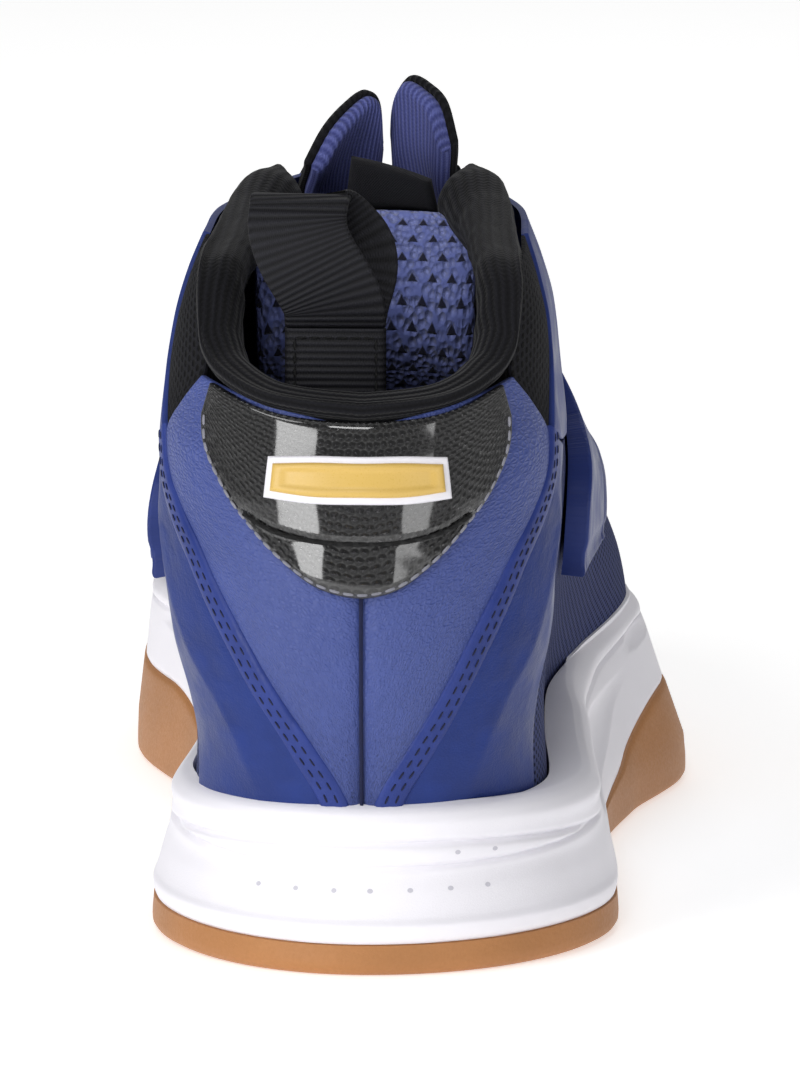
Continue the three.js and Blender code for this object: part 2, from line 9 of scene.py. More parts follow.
import bpy
import numpy as np
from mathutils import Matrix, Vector


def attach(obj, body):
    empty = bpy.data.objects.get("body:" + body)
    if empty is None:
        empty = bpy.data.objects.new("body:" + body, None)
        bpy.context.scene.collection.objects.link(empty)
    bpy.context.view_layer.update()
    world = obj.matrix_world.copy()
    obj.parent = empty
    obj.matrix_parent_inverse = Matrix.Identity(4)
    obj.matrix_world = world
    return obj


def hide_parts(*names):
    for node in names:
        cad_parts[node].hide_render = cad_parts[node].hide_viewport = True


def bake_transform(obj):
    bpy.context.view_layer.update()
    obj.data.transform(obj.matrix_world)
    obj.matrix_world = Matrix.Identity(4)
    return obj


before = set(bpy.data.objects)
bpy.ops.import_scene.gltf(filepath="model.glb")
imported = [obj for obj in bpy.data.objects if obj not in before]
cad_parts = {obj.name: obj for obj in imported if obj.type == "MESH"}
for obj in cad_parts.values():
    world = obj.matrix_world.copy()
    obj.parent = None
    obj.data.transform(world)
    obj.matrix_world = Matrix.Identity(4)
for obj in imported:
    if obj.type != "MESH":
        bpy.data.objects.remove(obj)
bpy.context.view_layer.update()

SOLE_LENGTH = 302.0
HEEL_Y = -SOLE_LENGTH / 2
TOE_SPRING = 11.0
SPRING_START = 205.0
PI = math.pi
PHI_MM = 60.0  # length of a radian of phi on the surface, for spacing points along tracks
HEEL_PHI_MM = 42.0  # the same at the heel, for the width of seams


# ---------------------------------------------------------------- curves and the reference surface
def hermite(xs, ys, slopes, at):
    """Values of the curve through (xs, ys) with the given slopes there."""
    i = np.clip(np.searchsorted(xs, at, side="right") - 1, 0, len(xs) - 2)
    h = xs[i + 1] - xs[i]
    t = (at - xs[i]) / h
    t2, t3 = t * t, t * t * t
    return (
        (2 * t3 - 3 * t2 + 1) * ys[i] + (t3 - 2 * t2 + t) * h * slopes[i]
        + (3 * t2 - 2 * t3) * ys[i + 1] + (t3 - t2) * h * slopes[i + 1]
    )


def smooth_path(knots, values, at):
    """A curve with even turns through values at knots."""
    return hermite(knots, values, np.gradient(values, knots), at)


def through(points, count):
    """Points at even steps along a curve with even turns through the given ones."""
    knots = run_length(points)
    at = np.linspace(0, knots[-1], count)
    return np.stack([smooth_path(knots, column, at) for column in points.T], -1)


def profile(pairs):
    """A smooth function through (input, value) pairs that never overshoots them."""
    xs, ys = np.array(pairs, float).T
    slope = np.diff(ys) / np.diff(xs)
    tangent = np.empty(len(xs))
    tangent[0], tangent[-1] = slope[0], slope[-1]
    for i in range(1, len(xs) - 1):
        a, b = slope[i - 1], slope[i]
        tangent[i] = 0.0 if a * b <= 0 else 2 * a * b / (a + b)
    return lambda v: hermite(xs, ys, tangent, np.clip(np.asarray(v, float), xs[0], xs[-1]))


def smooth(a, b, v):
    """0 before a and 1 after b, with an even rise between; a may be the larger."""
    t = np.clip((np.asarray(v, float) - a) / (b - a), 0, 1)
    return t * t * (3 - 2 * t)


def lerp(a, b, t):
    return a + (b - a) * t


def run_length(points):
    """Distance from the first point of a line to each of its points, along the line."""
    return np.concatenate([[0], np.cumsum(np.linalg.norm(np.diff(points, axis=0), axis=1))])


back_line = profile([(10, 9), (33, 6), (58, 3.5), (85, 6), (104, 10), (125, 12), (165, 12)])
front_line = profile([
    (10, 292), (30, 295), (44, 291), (54, 279), (61, 261), (67, 240), (75, 212),
    (84, 187), (95, 165), (106, 149), (120, 134), (138, 122), (165, 114),
])
heel_lateral = profile([
    (10, 28), (33, 30.5), (47, 32.5), (60, 34), (75, 35), (88, 35.2), (100, 34.2), (113, 33),
    (121, 31), (131, 27.5), (146, 23.5), (165, 20),
])
heel_medial = profile([
    (10, 28), (33, 31), (44, 34), (60, 37), (75, 38.6), (91, 39), (104, 38), (113, 36.6),
    (121, 34.4), (131, 30.6), (146, 25.5), (165, 21),
])
ball_lateral = profile([
    (10, 45), (33, 46.5), (46, 45), (60, 40.5), (75, 36.5), (90, 34.5), (118, 32.5), (165, 24),
])
ball_medial = profile([
    (10, 47), (33, 49.5), (46, 48.5), (60, 44), (75, 39), (90, 36.5), (118, 33), (165, 24),
])
heel_round = profile([(10, 36), (60, 40), (110, 40), (165, 36)])
toe_round = profile([(10, 84), (40, 78), (60, 70), (75, 76), (100, 66), (130, 52), (165, 44)])
centre_line = profile([(0, 0), (150, 0), (225, -4), (300, -13)])
sole_lateral = profile([
    (0, 45), (45, 46), (85, 44), (112, 43), (145, 48), (186, 59), (222, 56), (262, 47), (302, 38),
])
sole_medial = profile([
    (0, 40), (45, 40.5), (85, 38), (115, 35), (150, 39), (205, 52), (240, 50), (272, 44), (302, 36),
])
floor_height = profile([(0, 21), (90, 17.4), (196, 13.6), (302, 13)])


def lift(along):
    """How far the toe spring raises everything at this place."""
    return TOE_SPRING * 1.6 * smooth(SPRING_START, SOLE_LENGTH + 40, along)


def arc(u):
    """A quarter circle: 0 at u = 0, rising to 1 at u = 1."""
    return np.sqrt(np.maximum(0, 1 - (1 - np.clip(u, 0, 1)) ** 2))


def along_at(phi, z):
    return lerp(back_line(z), front_line(z), (1 - np.cos(phi)) / 2)


def phi_at(along, z):
    u = (along - back_line(z)) / (front_line(z) - back_line(z))
    return np.arccos(np.clip(1 - 2 * u, -1, 1))


def hull_flat(phi, z):
    """The reference surface before the toe spring."""
    along = along_at(phi, z)
    lateral = np.sin(phi) >= 0
    heel = np.where(lateral, heel_lateral(z), heel_medial(z))
    ball = np.where(lateral, ball_lateral(z), ball_medial(z))
    waist = 3 * smooth(76, 100, z) * smooth(84, 112, along)
    own = lerp(heel, ball, smooth(88, 190, along)) - waist
    inset = np.where(lateral, lerp(13, 11, smooth(60, 170, along)), 7.5)
    seated = np.where(lateral, sole_lateral(along), sole_medial(along)) - inset
    width = lerp(seated, own, smooth(26, 58, z))
    ends = arc((along - back_line(z)) / heel_round(z)) * arc((front_line(z) - along) / toe_round(z))
    x = centre_line(along) + np.sign(np.sin(phi)) * width * ends
    return np.stack(np.broadcast_arrays(x, along, z), -1).astype(float)


def hull(phi, z, depth=0.0):
    """Points of the reference surface, moved outward by depth."""
    phi, z, depth = (v.astype(float) for v in np.broadcast_arrays(phi, z, depth))
    p = hull_flat(phi, z)
    step = 0.004
    around = hull_flat(phi + step, z) - hull_flat(phi - step, z)
    up = hull_flat(phi, z + 0.3) - hull_flat(phi, z - 0.3)
    normal = np.cross(around, up)
    normal /= np.maximum(np.linalg.norm(normal, axis=-1, keepdims=True), 1e-9)
    p = p + normal * depth[..., None]
    p[..., 2] += lift(p[..., 1])
    return p


def side(along, z):
    """The (phi, z) of a place on the lateral side."""
    return (float(phi_at(along, z)), z)


def front(half, z):
    """The (phi, z) of a place on the front, half mm to the lateral side of the middle."""
    ratio = min(0.98, half / float(ball_lateral(z)))
    return side(front_line(z) - toe_round(z) * (1 - math.sqrt(1 - ratio * ratio)), z)


def track(points):
    """A curve through (phi, z) points, as a function of an array of t from 0 to 1, even along its length."""
    pts = np.array(points, float) * (PHI_MM, 1)
    if len(pts) == 2:
        dense = np.linspace(pts[0], pts[1], 20)
    else:
        knots = run_length(pts)
        ghost = np.vstack([2 * pts[0] - pts[1], pts, 2 * pts[-1] - pts[-2]])
        kn = np.concatenate([[2 * knots[0] - knots[1]], knots, [2 * knots[-1] - knots[-2]]])
        dense = []
        for i in range(1, len(ghost) - 2):
            t = np.linspace(kn[i], kn[i + 1], 24, endpoint=i == len(ghost) - 3)[:, None]
            p0, p1, p2, p3 = ghost[i - 1:i + 3]
            k0, k1, k2, k3 = kn[i - 1:i + 3]
            a1 = (k1 - t) / (k1 - k0) * p0 + (t - k0) / (k1 - k0) * p1
            a2 = (k2 - t) / (k2 - k1) * p1 + (t - k1) / (k2 - k1) * p2
            a3 = (k3 - t) / (k3 - k2) * p2 + (t - k2) / (k3 - k2) * p3
            b1 = (k2 - t) / (k2 - k0) * a1 + (t - k0) / (k2 - k0) * a2
            b2 = (k3 - t) / (k3 - k1) * a2 + (t - k1) / (k3 - k1) * a3
            dense.append((k2 - t) / (k2 - k1) * b1 + (t - k1) / (k2 - k1) * b2)
        dense = np.vstack(dense)
    length = run_length(dense)
    length /= length[-1]

    def at(t):
        t = np.clip(np.asarray(t, float), 0, 1)
        return np.interp(t, length, dense[:, 0]) / PHI_MM, np.interp(t, length, dense[:, 1])

    return at


def mirrored(points):
    """The same track on the medial side."""
    return [(-phi, z) for phi, z in points]


def over_front(points):
    """A lateral track carried on over the front to its mirror image."""
    return list(points) + [(2 * PI - phi, z) for phi, z in reversed(points[:-1])]


def full_round(points):
    """A lateral track joined to its mirror image at the back of the heel."""
    return list(reversed(mirrored(points)))[:-1] + list(points)


# ---------------------------------------------------------------- meshes
def new_object(name, points, faces, uvs=None, material=None, sharp=40):
    """A mesh object from millimetre points; along is turned into Y. uvs are per vertex, in millimetres."""
    points = np.asarray(points, float) * 0.001
    points[:, 1] += HEEL_Y * 0.001
    mesh = bpy.data.meshes.new(name)
    mesh.from_pydata(points.tolist(), [], faces)
    mesh.validate()
    if uvs is not None:
        layer = mesh.uv_layers.new(name="UVMap")
        index = np.empty(len(mesh.loops), int)
        mesh.loops.foreach_get("vertex_index", index)
        layer.data.foreach_set("uv", (np.asarray(uvs, float)[index] * 0.001).ravel())
    mesh.shade_smooth()
    if sharp:
        mesh.set_sharp_from_angle(angle=math.radians(sharp))
    obj = bpy.data.objects.new(name, mesh)
    bpy.context.collection.objects.link(obj)
    if material:
        mesh.materials.append(material)
    return obj


def grid_faces(rows, cols, offset=0, wrap_rows=False, wrap_cols=False, flip=False):
    r = np.arange(rows if wrap_rows else rows - 1)
    c = np.arange(cols if wrap_cols else cols - 1)
    r, c = np.meshgrid(r, c, indexing="ij")
    r1, c1 = (r + 1) % rows, (c + 1) % cols
    quads = np.stack([r * cols + c, r * cols + c1, r1 * cols + c1, r1 * cols + c], -1).reshape(-1, 4) + offset
    return (quads[:, ::-1] if flip else quads).tolist()


def grid_uv(points, column):
    """Distances in mm along the middle row and along one column of a grid of points."""
    across = run_length(points[len(points) // 2])
    return np.stack(np.meshgrid(across, run_length(points[:, column])), -1)


def shell(name, outer, inner, material, sharp=40, uv=None):
    """A closed sheet between two grids of points."""
    rows, cols = outer.shape[:2]
    n = rows * cols
    uv = grid_uv(outer, cols // 2) if uv is None else uv
    faces = grid_faces(rows, cols) + grid_faces(rows, cols, n, flip=True)
    rim = [(0, c) for c in range(cols)] + [(r, cols - 1) for r in range(1, rows)]
    rim += [(rows - 1, c) for c in range(cols - 2, -1, -1)] + [(r, 0) for r in range(rows - 2, 0, -1)]
    ids = [r * cols + c for r, c in rim]
    for a, b in zip(ids, ids[1:] + ids[:1]):
        faces.append([b, a, a + n, b + n])
    uvs = np.concatenate([uv.reshape(-1, 2)] * 2)
    points = np.concatenate([outer.reshape(-1, 3), inner.reshape(-1, 3)])
    return new_object(name, points, faces, uvs, material, sharp)


def end_caps(rows, cols):
    """The two faces that close a tube made of rows rings with cols points each."""
    return [list(range(cols))[::-1], [(rows - 1) * cols + c for c in range(cols)]]


def edge_steps(count, length, radius):
    """Parameters from 0 to 1 with extra ones near both ends, and how far each sits below a rounded edge."""
    near = np.array([0, 0.12, 0.35, 0.7]) * radius
    middle = np.linspace(radius, length - radius, max(2, count))
    at = np.concatenate([near, middle, length - near[::-1]])
    gap = np.minimum(at, length - at)
    drop = radius * (1 - np.sqrt(np.maximum(0, 1 - (1 - np.minimum(gap / radius, 1)) ** 2)))
    return at / length, drop


def sheet_steps(track_a, track_b, cols, rows, outer, radius):
    """edge_steps() along and across a sheet between two tracks, from its size."""
    t = np.linspace(0, 1, 40)
    pa, pb = hull(*track_a(t), outer), hull(*track_b(t), outer)
    width = run_length((pa + pb) / 2)[-1]
    height = np.linalg.norm(pa - pb, axis=1).mean()
    return (*edge_steps(cols, width, radius), *edge_steps(rows, height, radius))


def panel(name, track_a, track_b, cols, rows, inner, outer, material, radius=0.7, relief=None,
          base=None, under=None):
    """A sheet of the upper between two tracks, with rounded edges. relief(phi, z, s, t) adds to the outer
    depth, base(s) moves both faces, and under(s, t) gives the depth of the inner one."""
    radius = min(radius, outer - inner)
    s, drop_s, t, drop_t = sheet_steps(track_a, track_b, cols, rows, outer, radius)
    (phi_a, z_a), (phi_b, z_b) = track_a(s), track_b(s)
    tt = t[:, None]
    phi, z = lerp(phi_a, phi_b, tt), lerp(z_a, z_b, tt)
    drop = np.maximum(drop_s[None, :], drop_t[:, None])
    depth = outer - drop
    if relief is not None:
        depth = depth + relief(phi, z, np.broadcast_to(s, phi.shape), np.broadcast_to(tt, phi.shape))
    lifted = 0.0 if base is None else base(s)[None, :]
    top = hull(phi, z, depth + lifted)
    floor = inner + lifted if under is None else under(s[None, :], tt)
    low = hull(phi, z, np.minimum(floor, depth + lifted - 0.05))
    return shell(name, top, low, material)


def ring_solid(name, rings, material):
    """Rings of points, each closed; the first and last ring are capped."""
    rings = np.asarray(rings, float)
    rows, cols = rings.shape[:2]
    faces = grid_faces(rows, cols, wrap_cols=True) + end_caps(rows, cols)
    uv = grid_uv(rings, cols // 4)
    return new_object(name, rings.reshape(-1, 3), faces, uv.reshape(-1, 2), material, 60)


def place(obj, body, slot_name, *nodes):
    """Puts a piece on the body that carries it and hides the CAD nodes it stands for. slot_name, what it is
    made of, is not used.
    """
    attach(obj, body)
    if nodes:
        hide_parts(*nodes)
    return obj


# ---------------------------------------------------------------- materials
class Nodes:
    """Short names for building a material's node tree."""

    def __init__(self, name, base, roughness, specular=0.5):
        self.material = bpy.data.materials.new(name)
        self.material.use_nodes = True
        self.tree = self.material.node_tree
        self.tree.nodes.clear()
        self.out = self.add("ShaderNodeOutputMaterial")
        self.shader = self.add("ShaderNodeBsdfPrincipled")
        self.tree.links.new(self.shader.outputs["BSDF"], self.out.inputs["Surface"])
        self.set("Base Color", (*base, 1))
        self.set("Roughness", roughness)
        self.set("Specular IOR Level", specular)
        self.bump_in = None

    def add(self, kind, **values):
        node = self.tree.nodes.new(kind)
        for key, value in values.items():
            if key in node.inputs:
                node.inputs[key].default_value = value
            else:
                setattr(node, key, value)
        return node

    def link(self, source, target):
        self.tree.links.new(source, target)

    def set(self, socket, value):
        self.shader.inputs[socket].default_value = value

    def drive(self, socket, source):
        self.link(source, self.shader.inputs[socket])

    def math(self, operation, a, b=None):
        node = self.add("ShaderNodeMath", operation=operation)
        for slot, value in zip(node.inputs, (a, b)):
            if value is None:
                continue
            if isinstance(value, (int, float)):
                slot.default_value = value
            else:
                self.link(value, slot)
        return node.outputs[0]

    def unit(self, value):
        """A wave between -1 and 1, brought to 0 to 1."""
        return self.math("ADD", self.math("MULTIPLY", value, 0.5), 0.5)

    def uv(self):
        """The piece's own surface coordinates, in millimetres."""
        return self.scaled(self.add("ShaderNodeUVMap", uv_map="UVMap").outputs[0], (1000, 1000, 1000))

    def solid(self):
        """Object coordinates, in millimetres."""
        return self.scaled(self.add("ShaderNodeTexCoord").outputs["Object"], (1000, 1000, 1000))

    def scaled(self, vector, scale):
        node = self.add("ShaderNodeMapping", Scale=scale)
        self.link(vector, node.inputs["Vector"])
        return node.outputs[0]

    def warped(self, vector, scale, detail, reach):
        """Coordinates pushed about by a noise, by up to reach along each axis."""
        wobble = self.add("ShaderNodeTexNoise", Scale=scale, Detail=detail)
        self.link(vector, wobble.inputs["Vector"])
        node = self.add("ShaderNodeVectorMath", operation="ADD")
        self.link(vector, node.inputs[0])
        self.link(self.scaled(wobble.outputs["Color"], reach), node.inputs[1])
        return node.outputs[0]

    def parts(self, vector):
        node = self.add("ShaderNodeSeparateXYZ")
        self.link(vector, node.inputs[0])
        return node.outputs

    def noise(self, vector, scale, detail=4.0, roughness=0.5):
        node = self.add("ShaderNodeTexNoise", Scale=scale, Detail=detail, Roughness=roughness)
        self.link(vector, node.inputs["Vector"])
        return node.outputs["Fac"]

    def cells(self, vector, scale, feature="F1", randomness=1.0):
        node = self.add("ShaderNodeTexVoronoi", feature=feature, Scale=scale, Randomness=randomness)
        self.link(vector, node.inputs["Vector"])
        return node.outputs["Distance"]

    def ramp(self, source, low, high, a=0.0, b=1.0):
        """A smooth change from a, where the source is low, to b, where it is high."""
        node = self.add("ShaderNodeMapRange", interpolation_type="SMOOTHSTEP")
        for key, value in (("From Min", low), ("From Max", high), ("To Min", a), ("To Max", b)):
            node.inputs[key].default_value = value
        self.link(source, node.inputs["Value"])
        return node.outputs["Result"]

    def mix(self, factor, a, b):
        node = self.add("ShaderNodeMix", data_type="RGBA")
        self.link(factor, node.inputs["Factor"])
        for slot, value in ((node.inputs["A"], a), (node.inputs["B"], b)):
            if isinstance(value, tuple):
                slot.default_value = (*value, 1)
            else:
                self.link(value, slot)
        return node.outputs["Result"]

    def bump(self, height, distance_mm, strength=1.0):
        node = self.add("ShaderNodeBump", Strength=strength, Distance=distance_mm * 0.001)
        self.link(height, node.inputs["Height"])
        if self.bump_in is not None:
            self.link(self.bump_in, node.inputs["Normal"])
        self.bump_in = node.outputs["Normal"]
        self.link(self.bump_in, self.shader.inputs["Normal"])


def tint(red, green, blue):
    """A colour given as 0-255 screen values, turned linear."""
    screen = (red / 255, green / 255, blue / 255)
    return tuple(v / 12.92 if v < 0.04 else ((v + 0.055) / 1.055) ** 2.4 for v in screen)


def shade(colour, factor):
    """A colour made darker or lighter, but never beyond white."""
    return tuple(min(1, c * factor) for c in colour)


def leather(name, base, pebble, roughness=0.42):
    """Pebbled leather: rounded grains parted by thin creases, over a slight unevenness."""
    n = Nodes(name, base, roughness, 0.5)
    at = n.uv()
    grains = n.cells(n.warped(at, 0.35, 3.0, (1, 1, 1)), pebble, "DISTANCE_TO_EDGE")
    crease = n.ramp(grains, 0.0, 0.3)
    fine = n.noise(at, 2.2, 5.0, 0.6)
    patchy = n.noise(at, 0.05, 3.0)
    # The creases between the grains are painted darker: painted shade in the creases.
    crease_shaded = n.mix(crease, shade(base, 0.93), base)
    worn = n.mix(n.ramp(patchy, 0.35, 0.7), crease_shaded, shade(base, 1.12))
    n.drive("Base Color", n.mix(n.ramp(patchy, 0.3, 0.75, 0.0, 0.6), crease_shaded, worn))
    n.drive("Roughness", n.ramp(crease, 0, 1, roughness + 0.08, roughness))
    n.bump(crease, 0.09)
    n.bump(n.noise(at, 0.5, 2.0), 0.35)
    n.bump(fine, 0.05)
    n.set("Sheen Weight", 0.05)
    return n.material


def synthetic(name, base, roughness=0.4, grain=0.05):
    """Smooth coated leather with a very fine grain and slight unevenness."""
    n = Nodes(name, base, roughness, 0.22)
    at = n.uv()
    fine = n.cells(at, 2.6)
    waves = n.noise(at, 0.12, 3.0)
    n.drive("Base Color", n.mix(n.ramp(waves, 0.3, 0.7), shade(base, 0.88), shade(base, 1.08)))
    n.drive("Roughness", n.ramp(waves, 0.25, 0.75, roughness - 0.05, roughness + 0.1))
    n.bump(fine, grain)
    n.bump(waves, 0.5)
    return n.material


def knitted(name, base, light, pitch, ribs, relief=0.3, cross=0.4):
    """Ribs along the first coordinate, made of short slanted loops."""
    n = Nodes(name, base, 0.85, 0.15)
    at = n.uv()
    along, across, _ = n.parts(at)
    phase = n.math("MULTIPLY", across, 2 * PI / ribs)
    rib = n.unit(n.math("COSINE", phase))
    sway = n.math("MULTIPLY", n.math("SINE", phase), 1.6)
    slant = n.math("ADD", n.math("MULTIPLY", along, 2 * PI / pitch), sway)
    loops = n.unit(n.math("COSINE", slant))
    fuzz = n.noise(at, 3.5, 3.0)
    height = n.math("ADD", n.math("MULTIPLY", rib, 1 - cross), n.math("MULTIPLY", loops, cross))
    n.drive("Base Color", n.mix(n.math("MULTIPLY", height, fuzz), base, light))
    n.bump(height, relief)
    n.bump(fuzz, 0.12)
    n.set("Sheen Weight", 0.08)
    n.set("Sheen Roughness", 0.5)
    return n.material


def staggered(n, at, pitch, rise):
    """Distance to the middle of the cell and the place in it, for a grid whose rows shift by half a cell."""
    along, across, _ = n.parts(at)
    row = n.math("DIVIDE", across, rise)
    half = n.math("MULTIPLY", n.math("FLOOR", row), 0.5)
    u = n.math("SUBTRACT", n.math("FRACT", n.math("ADD", n.math("DIVIDE", along, pitch), half)), 0.5)
    v = n.math("SUBTRACT", n.math("FRACT", row), 0.5)
    distance = n.math("SQRT", n.math("ADD", n.math("MULTIPLY", u, u), n.math("MULTIPLY", v, v)))
    return distance, u, v


def spacer_mesh(name, base, light, hole):
    """Chunky knitted net: plump yarn loops round staggered, roughly triangular openings."""
    n = Nodes(name, base, 0.7, 0.3)
    at = n.uv()
    warped = n.warped(at, 0.5, 2.0, (0.4, 0.4, 0))
    _, u, v = staggered(n, warped, 3.9, 3.3)
    wide = n.math("ABSOLUTE", u)
    sides = n.math("ADD", n.math("MULTIPLY", wide, 0.87), n.math("MULTIPLY", v, 0.5))
    reach = n.math("MAXIMUM", sides, n.math("MULTIPLY", v, -1.0))
    open_to = n.ramp(reach, 0.1, 0.17)
    loops = n.cells(warped, 0.75, randomness=0.8)
    plump = n.ramp(loops, 0.05, 0.8, 1.0, 0.0)
    fibre = n.noise(at, 3.2, 4.0, 0.7)
    cloth = n.mix(n.math("MULTIPLY", plump, n.ramp(fibre, 0.2, 0.8)), base, light)
    n.drive("Base Color", n.mix(open_to, hole, cloth))
    n.bump(n.math("MULTIPLY", open_to, n.math("ADD", plump, 0.6)), 1.0)
    n.bump(fibre, 0.16)
    n.set("Sheen Weight", 0.25)
    return n.material


def holed_mesh(name, base, light, hole, pitch, size):
    """Knitted mesh with rows of staggered openings."""
    n = Nodes(name, base, 0.75, 0.12)
    at = n.uv()
    distance, _, _ = staggered(n, at, pitch, pitch)
    open_to = n.ramp(distance, size * 0.6, size * 1.25)
    _, across, _ = n.parts(at)
    yarn = n.unit(n.math("SINE", n.math("MULTIPLY", across, 2 * PI / 0.42)))
    fuzz = n.noise(at, 4.0, 3.0)
    cloth = n.mix(n.math("MULTIPLY", yarn, fuzz), base, light)
    n.drive("Base Color", n.mix(open_to, hole, cloth))
    n.bump(open_to, 0.35)
    n.bump(yarn, 0.06)
    n.bump(fuzz, 0.08)
    return n.material


def woven(name, base, light, warp, weft, relief=0.16, rib=0.5):
    """Plain webbing: a fine weave with ribs across the tape."""
    n = Nodes(name, base, 0.6, 0.2)
    at = n.uv()
    along, across, _ = n.parts(at)
    a = n.math("SINE", n.math("MULTIPLY", along, 2 * PI / weft))
    b = n.math("SINE", n.math("MULTIPLY", across, 2 * PI / warp))
    checks, ribs = n.unit(n.math("MULTIPLY", a, b)), n.unit(a)
    weave = n.math("ADD", n.math("MULTIPLY", ribs, rib), n.math("MULTIPLY", checks, 1 - rib))
    fuzz = n.noise(at, 3.0, 3.0)
    n.drive("Base Color", n.mix(n.math("MULTIPLY", weave, fuzz), base, light))
    n.bump(weave, relief)
    n.bump(fuzz, 0.06)
    return n.material


def rubber(name, base):
    """Gum rubber: slightly uneven and faintly speckled."""
    n = Nodes(name, base, 0.5, 0.45)
    at = n.solid()
    speckle = n.noise(at, 1.4, 6.0, 0.65)
    cloud = n.noise(at, 0.04, 3.0)
    tone = n.mix(n.ramp(cloud, 0.3, 0.7), shade(base, 0.93), shade(base, 1.05))
    n.drive("Base Color", n.mix(n.ramp(speckle, 0.3, 0.75, 0.0, 0.35), tone, shade(base, 0.82)))
    n.drive("Roughness", n.ramp(speckle, 0.3, 0.7, 0.44, 0.6))
    n.bump(speckle, 0.09)
    n.set("Subsurface Weight", 0.05)
    n.set("Subsurface Radius", (0.003, 0.002, 0.001))
    return n.material


def foam_skin(name, base, roughness=0.5, relief=0.05):
    """Moulded foam with a fine matte skin."""
    n = Nodes(name, base, roughness, 0.4)
    at = n.solid()
    grain = n.noise(at, 2.5, 5.0, 0.7)
    cloud = n.noise(at, 0.06, 3.0)
    n.drive("Base Color", n.mix(n.ramp(cloud, 0.3, 0.7), shade(base, 0.975), base))
    n.drive("Roughness", n.ramp(grain, 0.3, 0.7, roughness - 0.06, roughness + 0.1))
    n.bump(grain, relief)
    return n.material


def scaled_gloss(name, base):
    """Glossy film embossed with small overlapping scales under a clear coat."""
    n = Nodes(name, base, 0.28, 0.6)
    at = n.uv()
    distance, _, _ = staggered(n, n.warped(at, 0.3, 2.0, (1.6, 1.6, 0)), 1.75, 1.5)
    dome = n.ramp(distance, 0.05, 0.56, 1.0, 0.0)
    fine = n.noise(at, 1.6, 4.0)
    # Each scale's top is painted lighter as a painted glint, and the gaps between scales are painted dark as
    # painted shade.
    n.drive("Base Color", n.mix(dome, shade(base, 0.3), shade(base, 1.5)))
    n.drive("Roughness", n.ramp(dome, 0, 1, 0.5, 0.12))
    n.bump(dome, 1.4)
    n.bump(n.noise(at, 0.35, 2.0), 0.3)
    n.bump(fine, 0.03)
    n.set("Coat Weight", 1.0)
    n.set("Coat Roughness", 0.07)
    n.set("Coat IOR", 1.65)
    return n.material


def board_like(name, base, scale, relief=0.12):
    """Pressed fibre or felt."""
    n = Nodes(name, base, 0.9, 0.2)
    at = n.solid()
    fibres = n.noise(n.scaled(at, (1, 0.25, 1)), scale, 6.0, 0.7)
    n.drive("Base Color", n.mix(n.ramp(fibres, 0.3, 0.7), shade(base, 0.8), base))
    n.bump(fibres, relief)
    return n.material


def thread(name, base):
    """Twisted sewing thread."""
    n = Nodes(name, base, 0.5, 0.4)
    along, across, _ = n.parts(n.uv())
    twist = n.math("SINE", n.math("MULTIPLY", n.math("ADD", along, across), 2 * PI / 0.35))
    n.drive("Base Color", n.mix(n.ramp(twist, -1, 1), shade(base, 0.7), base))
    n.bump(twist, 0.06)
    return n.material


MAT = {
    "heel": leather("heel leather", tint(60, 76, 142), 1.15),
    "side": synthetic("side synthetic", tint(32, 52, 118)),
    "welt": synthetic("seam welt", tint(44, 60, 128), 0.38, 0.03),
    "mesh": holed_mesh("quarter mesh", tint(54, 62, 104), tint(84, 92, 138), tint(16, 20, 42), 1.6, 0.3),
    "eyestay": synthetic("eyestay synthetic", tint(40, 56, 120), 0.42),
    "ankle": holed_mesh("ankle mesh", tint(17, 17, 21), tint(40, 40, 47), tint(3, 3, 4), 1.9, 0.34),
    "knit": knitted("collar knit", tint(8, 8, 11), tint(32, 32, 38), 0.9, 1.25, cross=0.15),
    "ear": knitted("ribbed lining", tint(60, 66, 122), tint(122, 130, 198), 0.8, 1.15, cross=0.2),
    # The spacer mesh's blue is its own colour, lifted lighter to make up for the shade deep inside the shoe:
    # partly painted light.
    "tongue": spacer_mesh("spacer mesh", tint(104, 116, 184), tint(160, 170, 232), tint(14, 16, 44)),
    "band": woven("tongue band weave", tint(13, 13, 17), tint(46, 46, 53), 0.5, 0.5, rib=0.0),
    "gloss": scaled_gloss("embossed gloss film", tint(15, 14, 18)),
    "badge": foam_skin("moulded badge", tint(214, 178, 96), 0.3, 0.03),
    "badge_rim": foam_skin("badge rim", tint(236, 234, 240), 0.35, 0.03),
    "gum": rubber("gum rubber", tint(178, 122, 72)),
    "white": foam_skin("white foam", tint(246, 244, 250)),
    "webbing": woven("grosgrain", tint(10, 10, 13), tint(46, 46, 53), 0.5, 1.25, relief=0.25, rib=0.75),
    "lace": knitted("flat lace weave", tint(12, 12, 15), tint(44, 44, 50), 0.9, 1.1, relief=0.2),
    "strap": synthetic("strap synthetic", tint(40, 56, 120), 0.38),
    "hook": board_like("hook and loop", tint(26, 26, 30), 2.6, 0.5),
    "fabric": board_like("sockliner fabric", tint(34, 34, 38), 2.2),
    "board": board_like("fibre board", tint(210, 204, 190), 1.2),
    "plate": foam_skin("eyelet strip plastic", tint(50, 52, 60), 0.35, 0.02),
    "navy_thread": thread("navy thread", tint(20, 28, 70)),
    "blue_thread": thread("blue thread", tint(120, 130, 190)),
    "black_thread": thread("black thread", tint(12, 12, 14)),
    "grey_thread": thread("grey thread", tint(176, 176, 188)),
    # Grey for the pinhole discs: painted shade standing for the inside of the vents.
    "vent": foam_skin("painted vent shade", tint(204, 202, 212)),
}


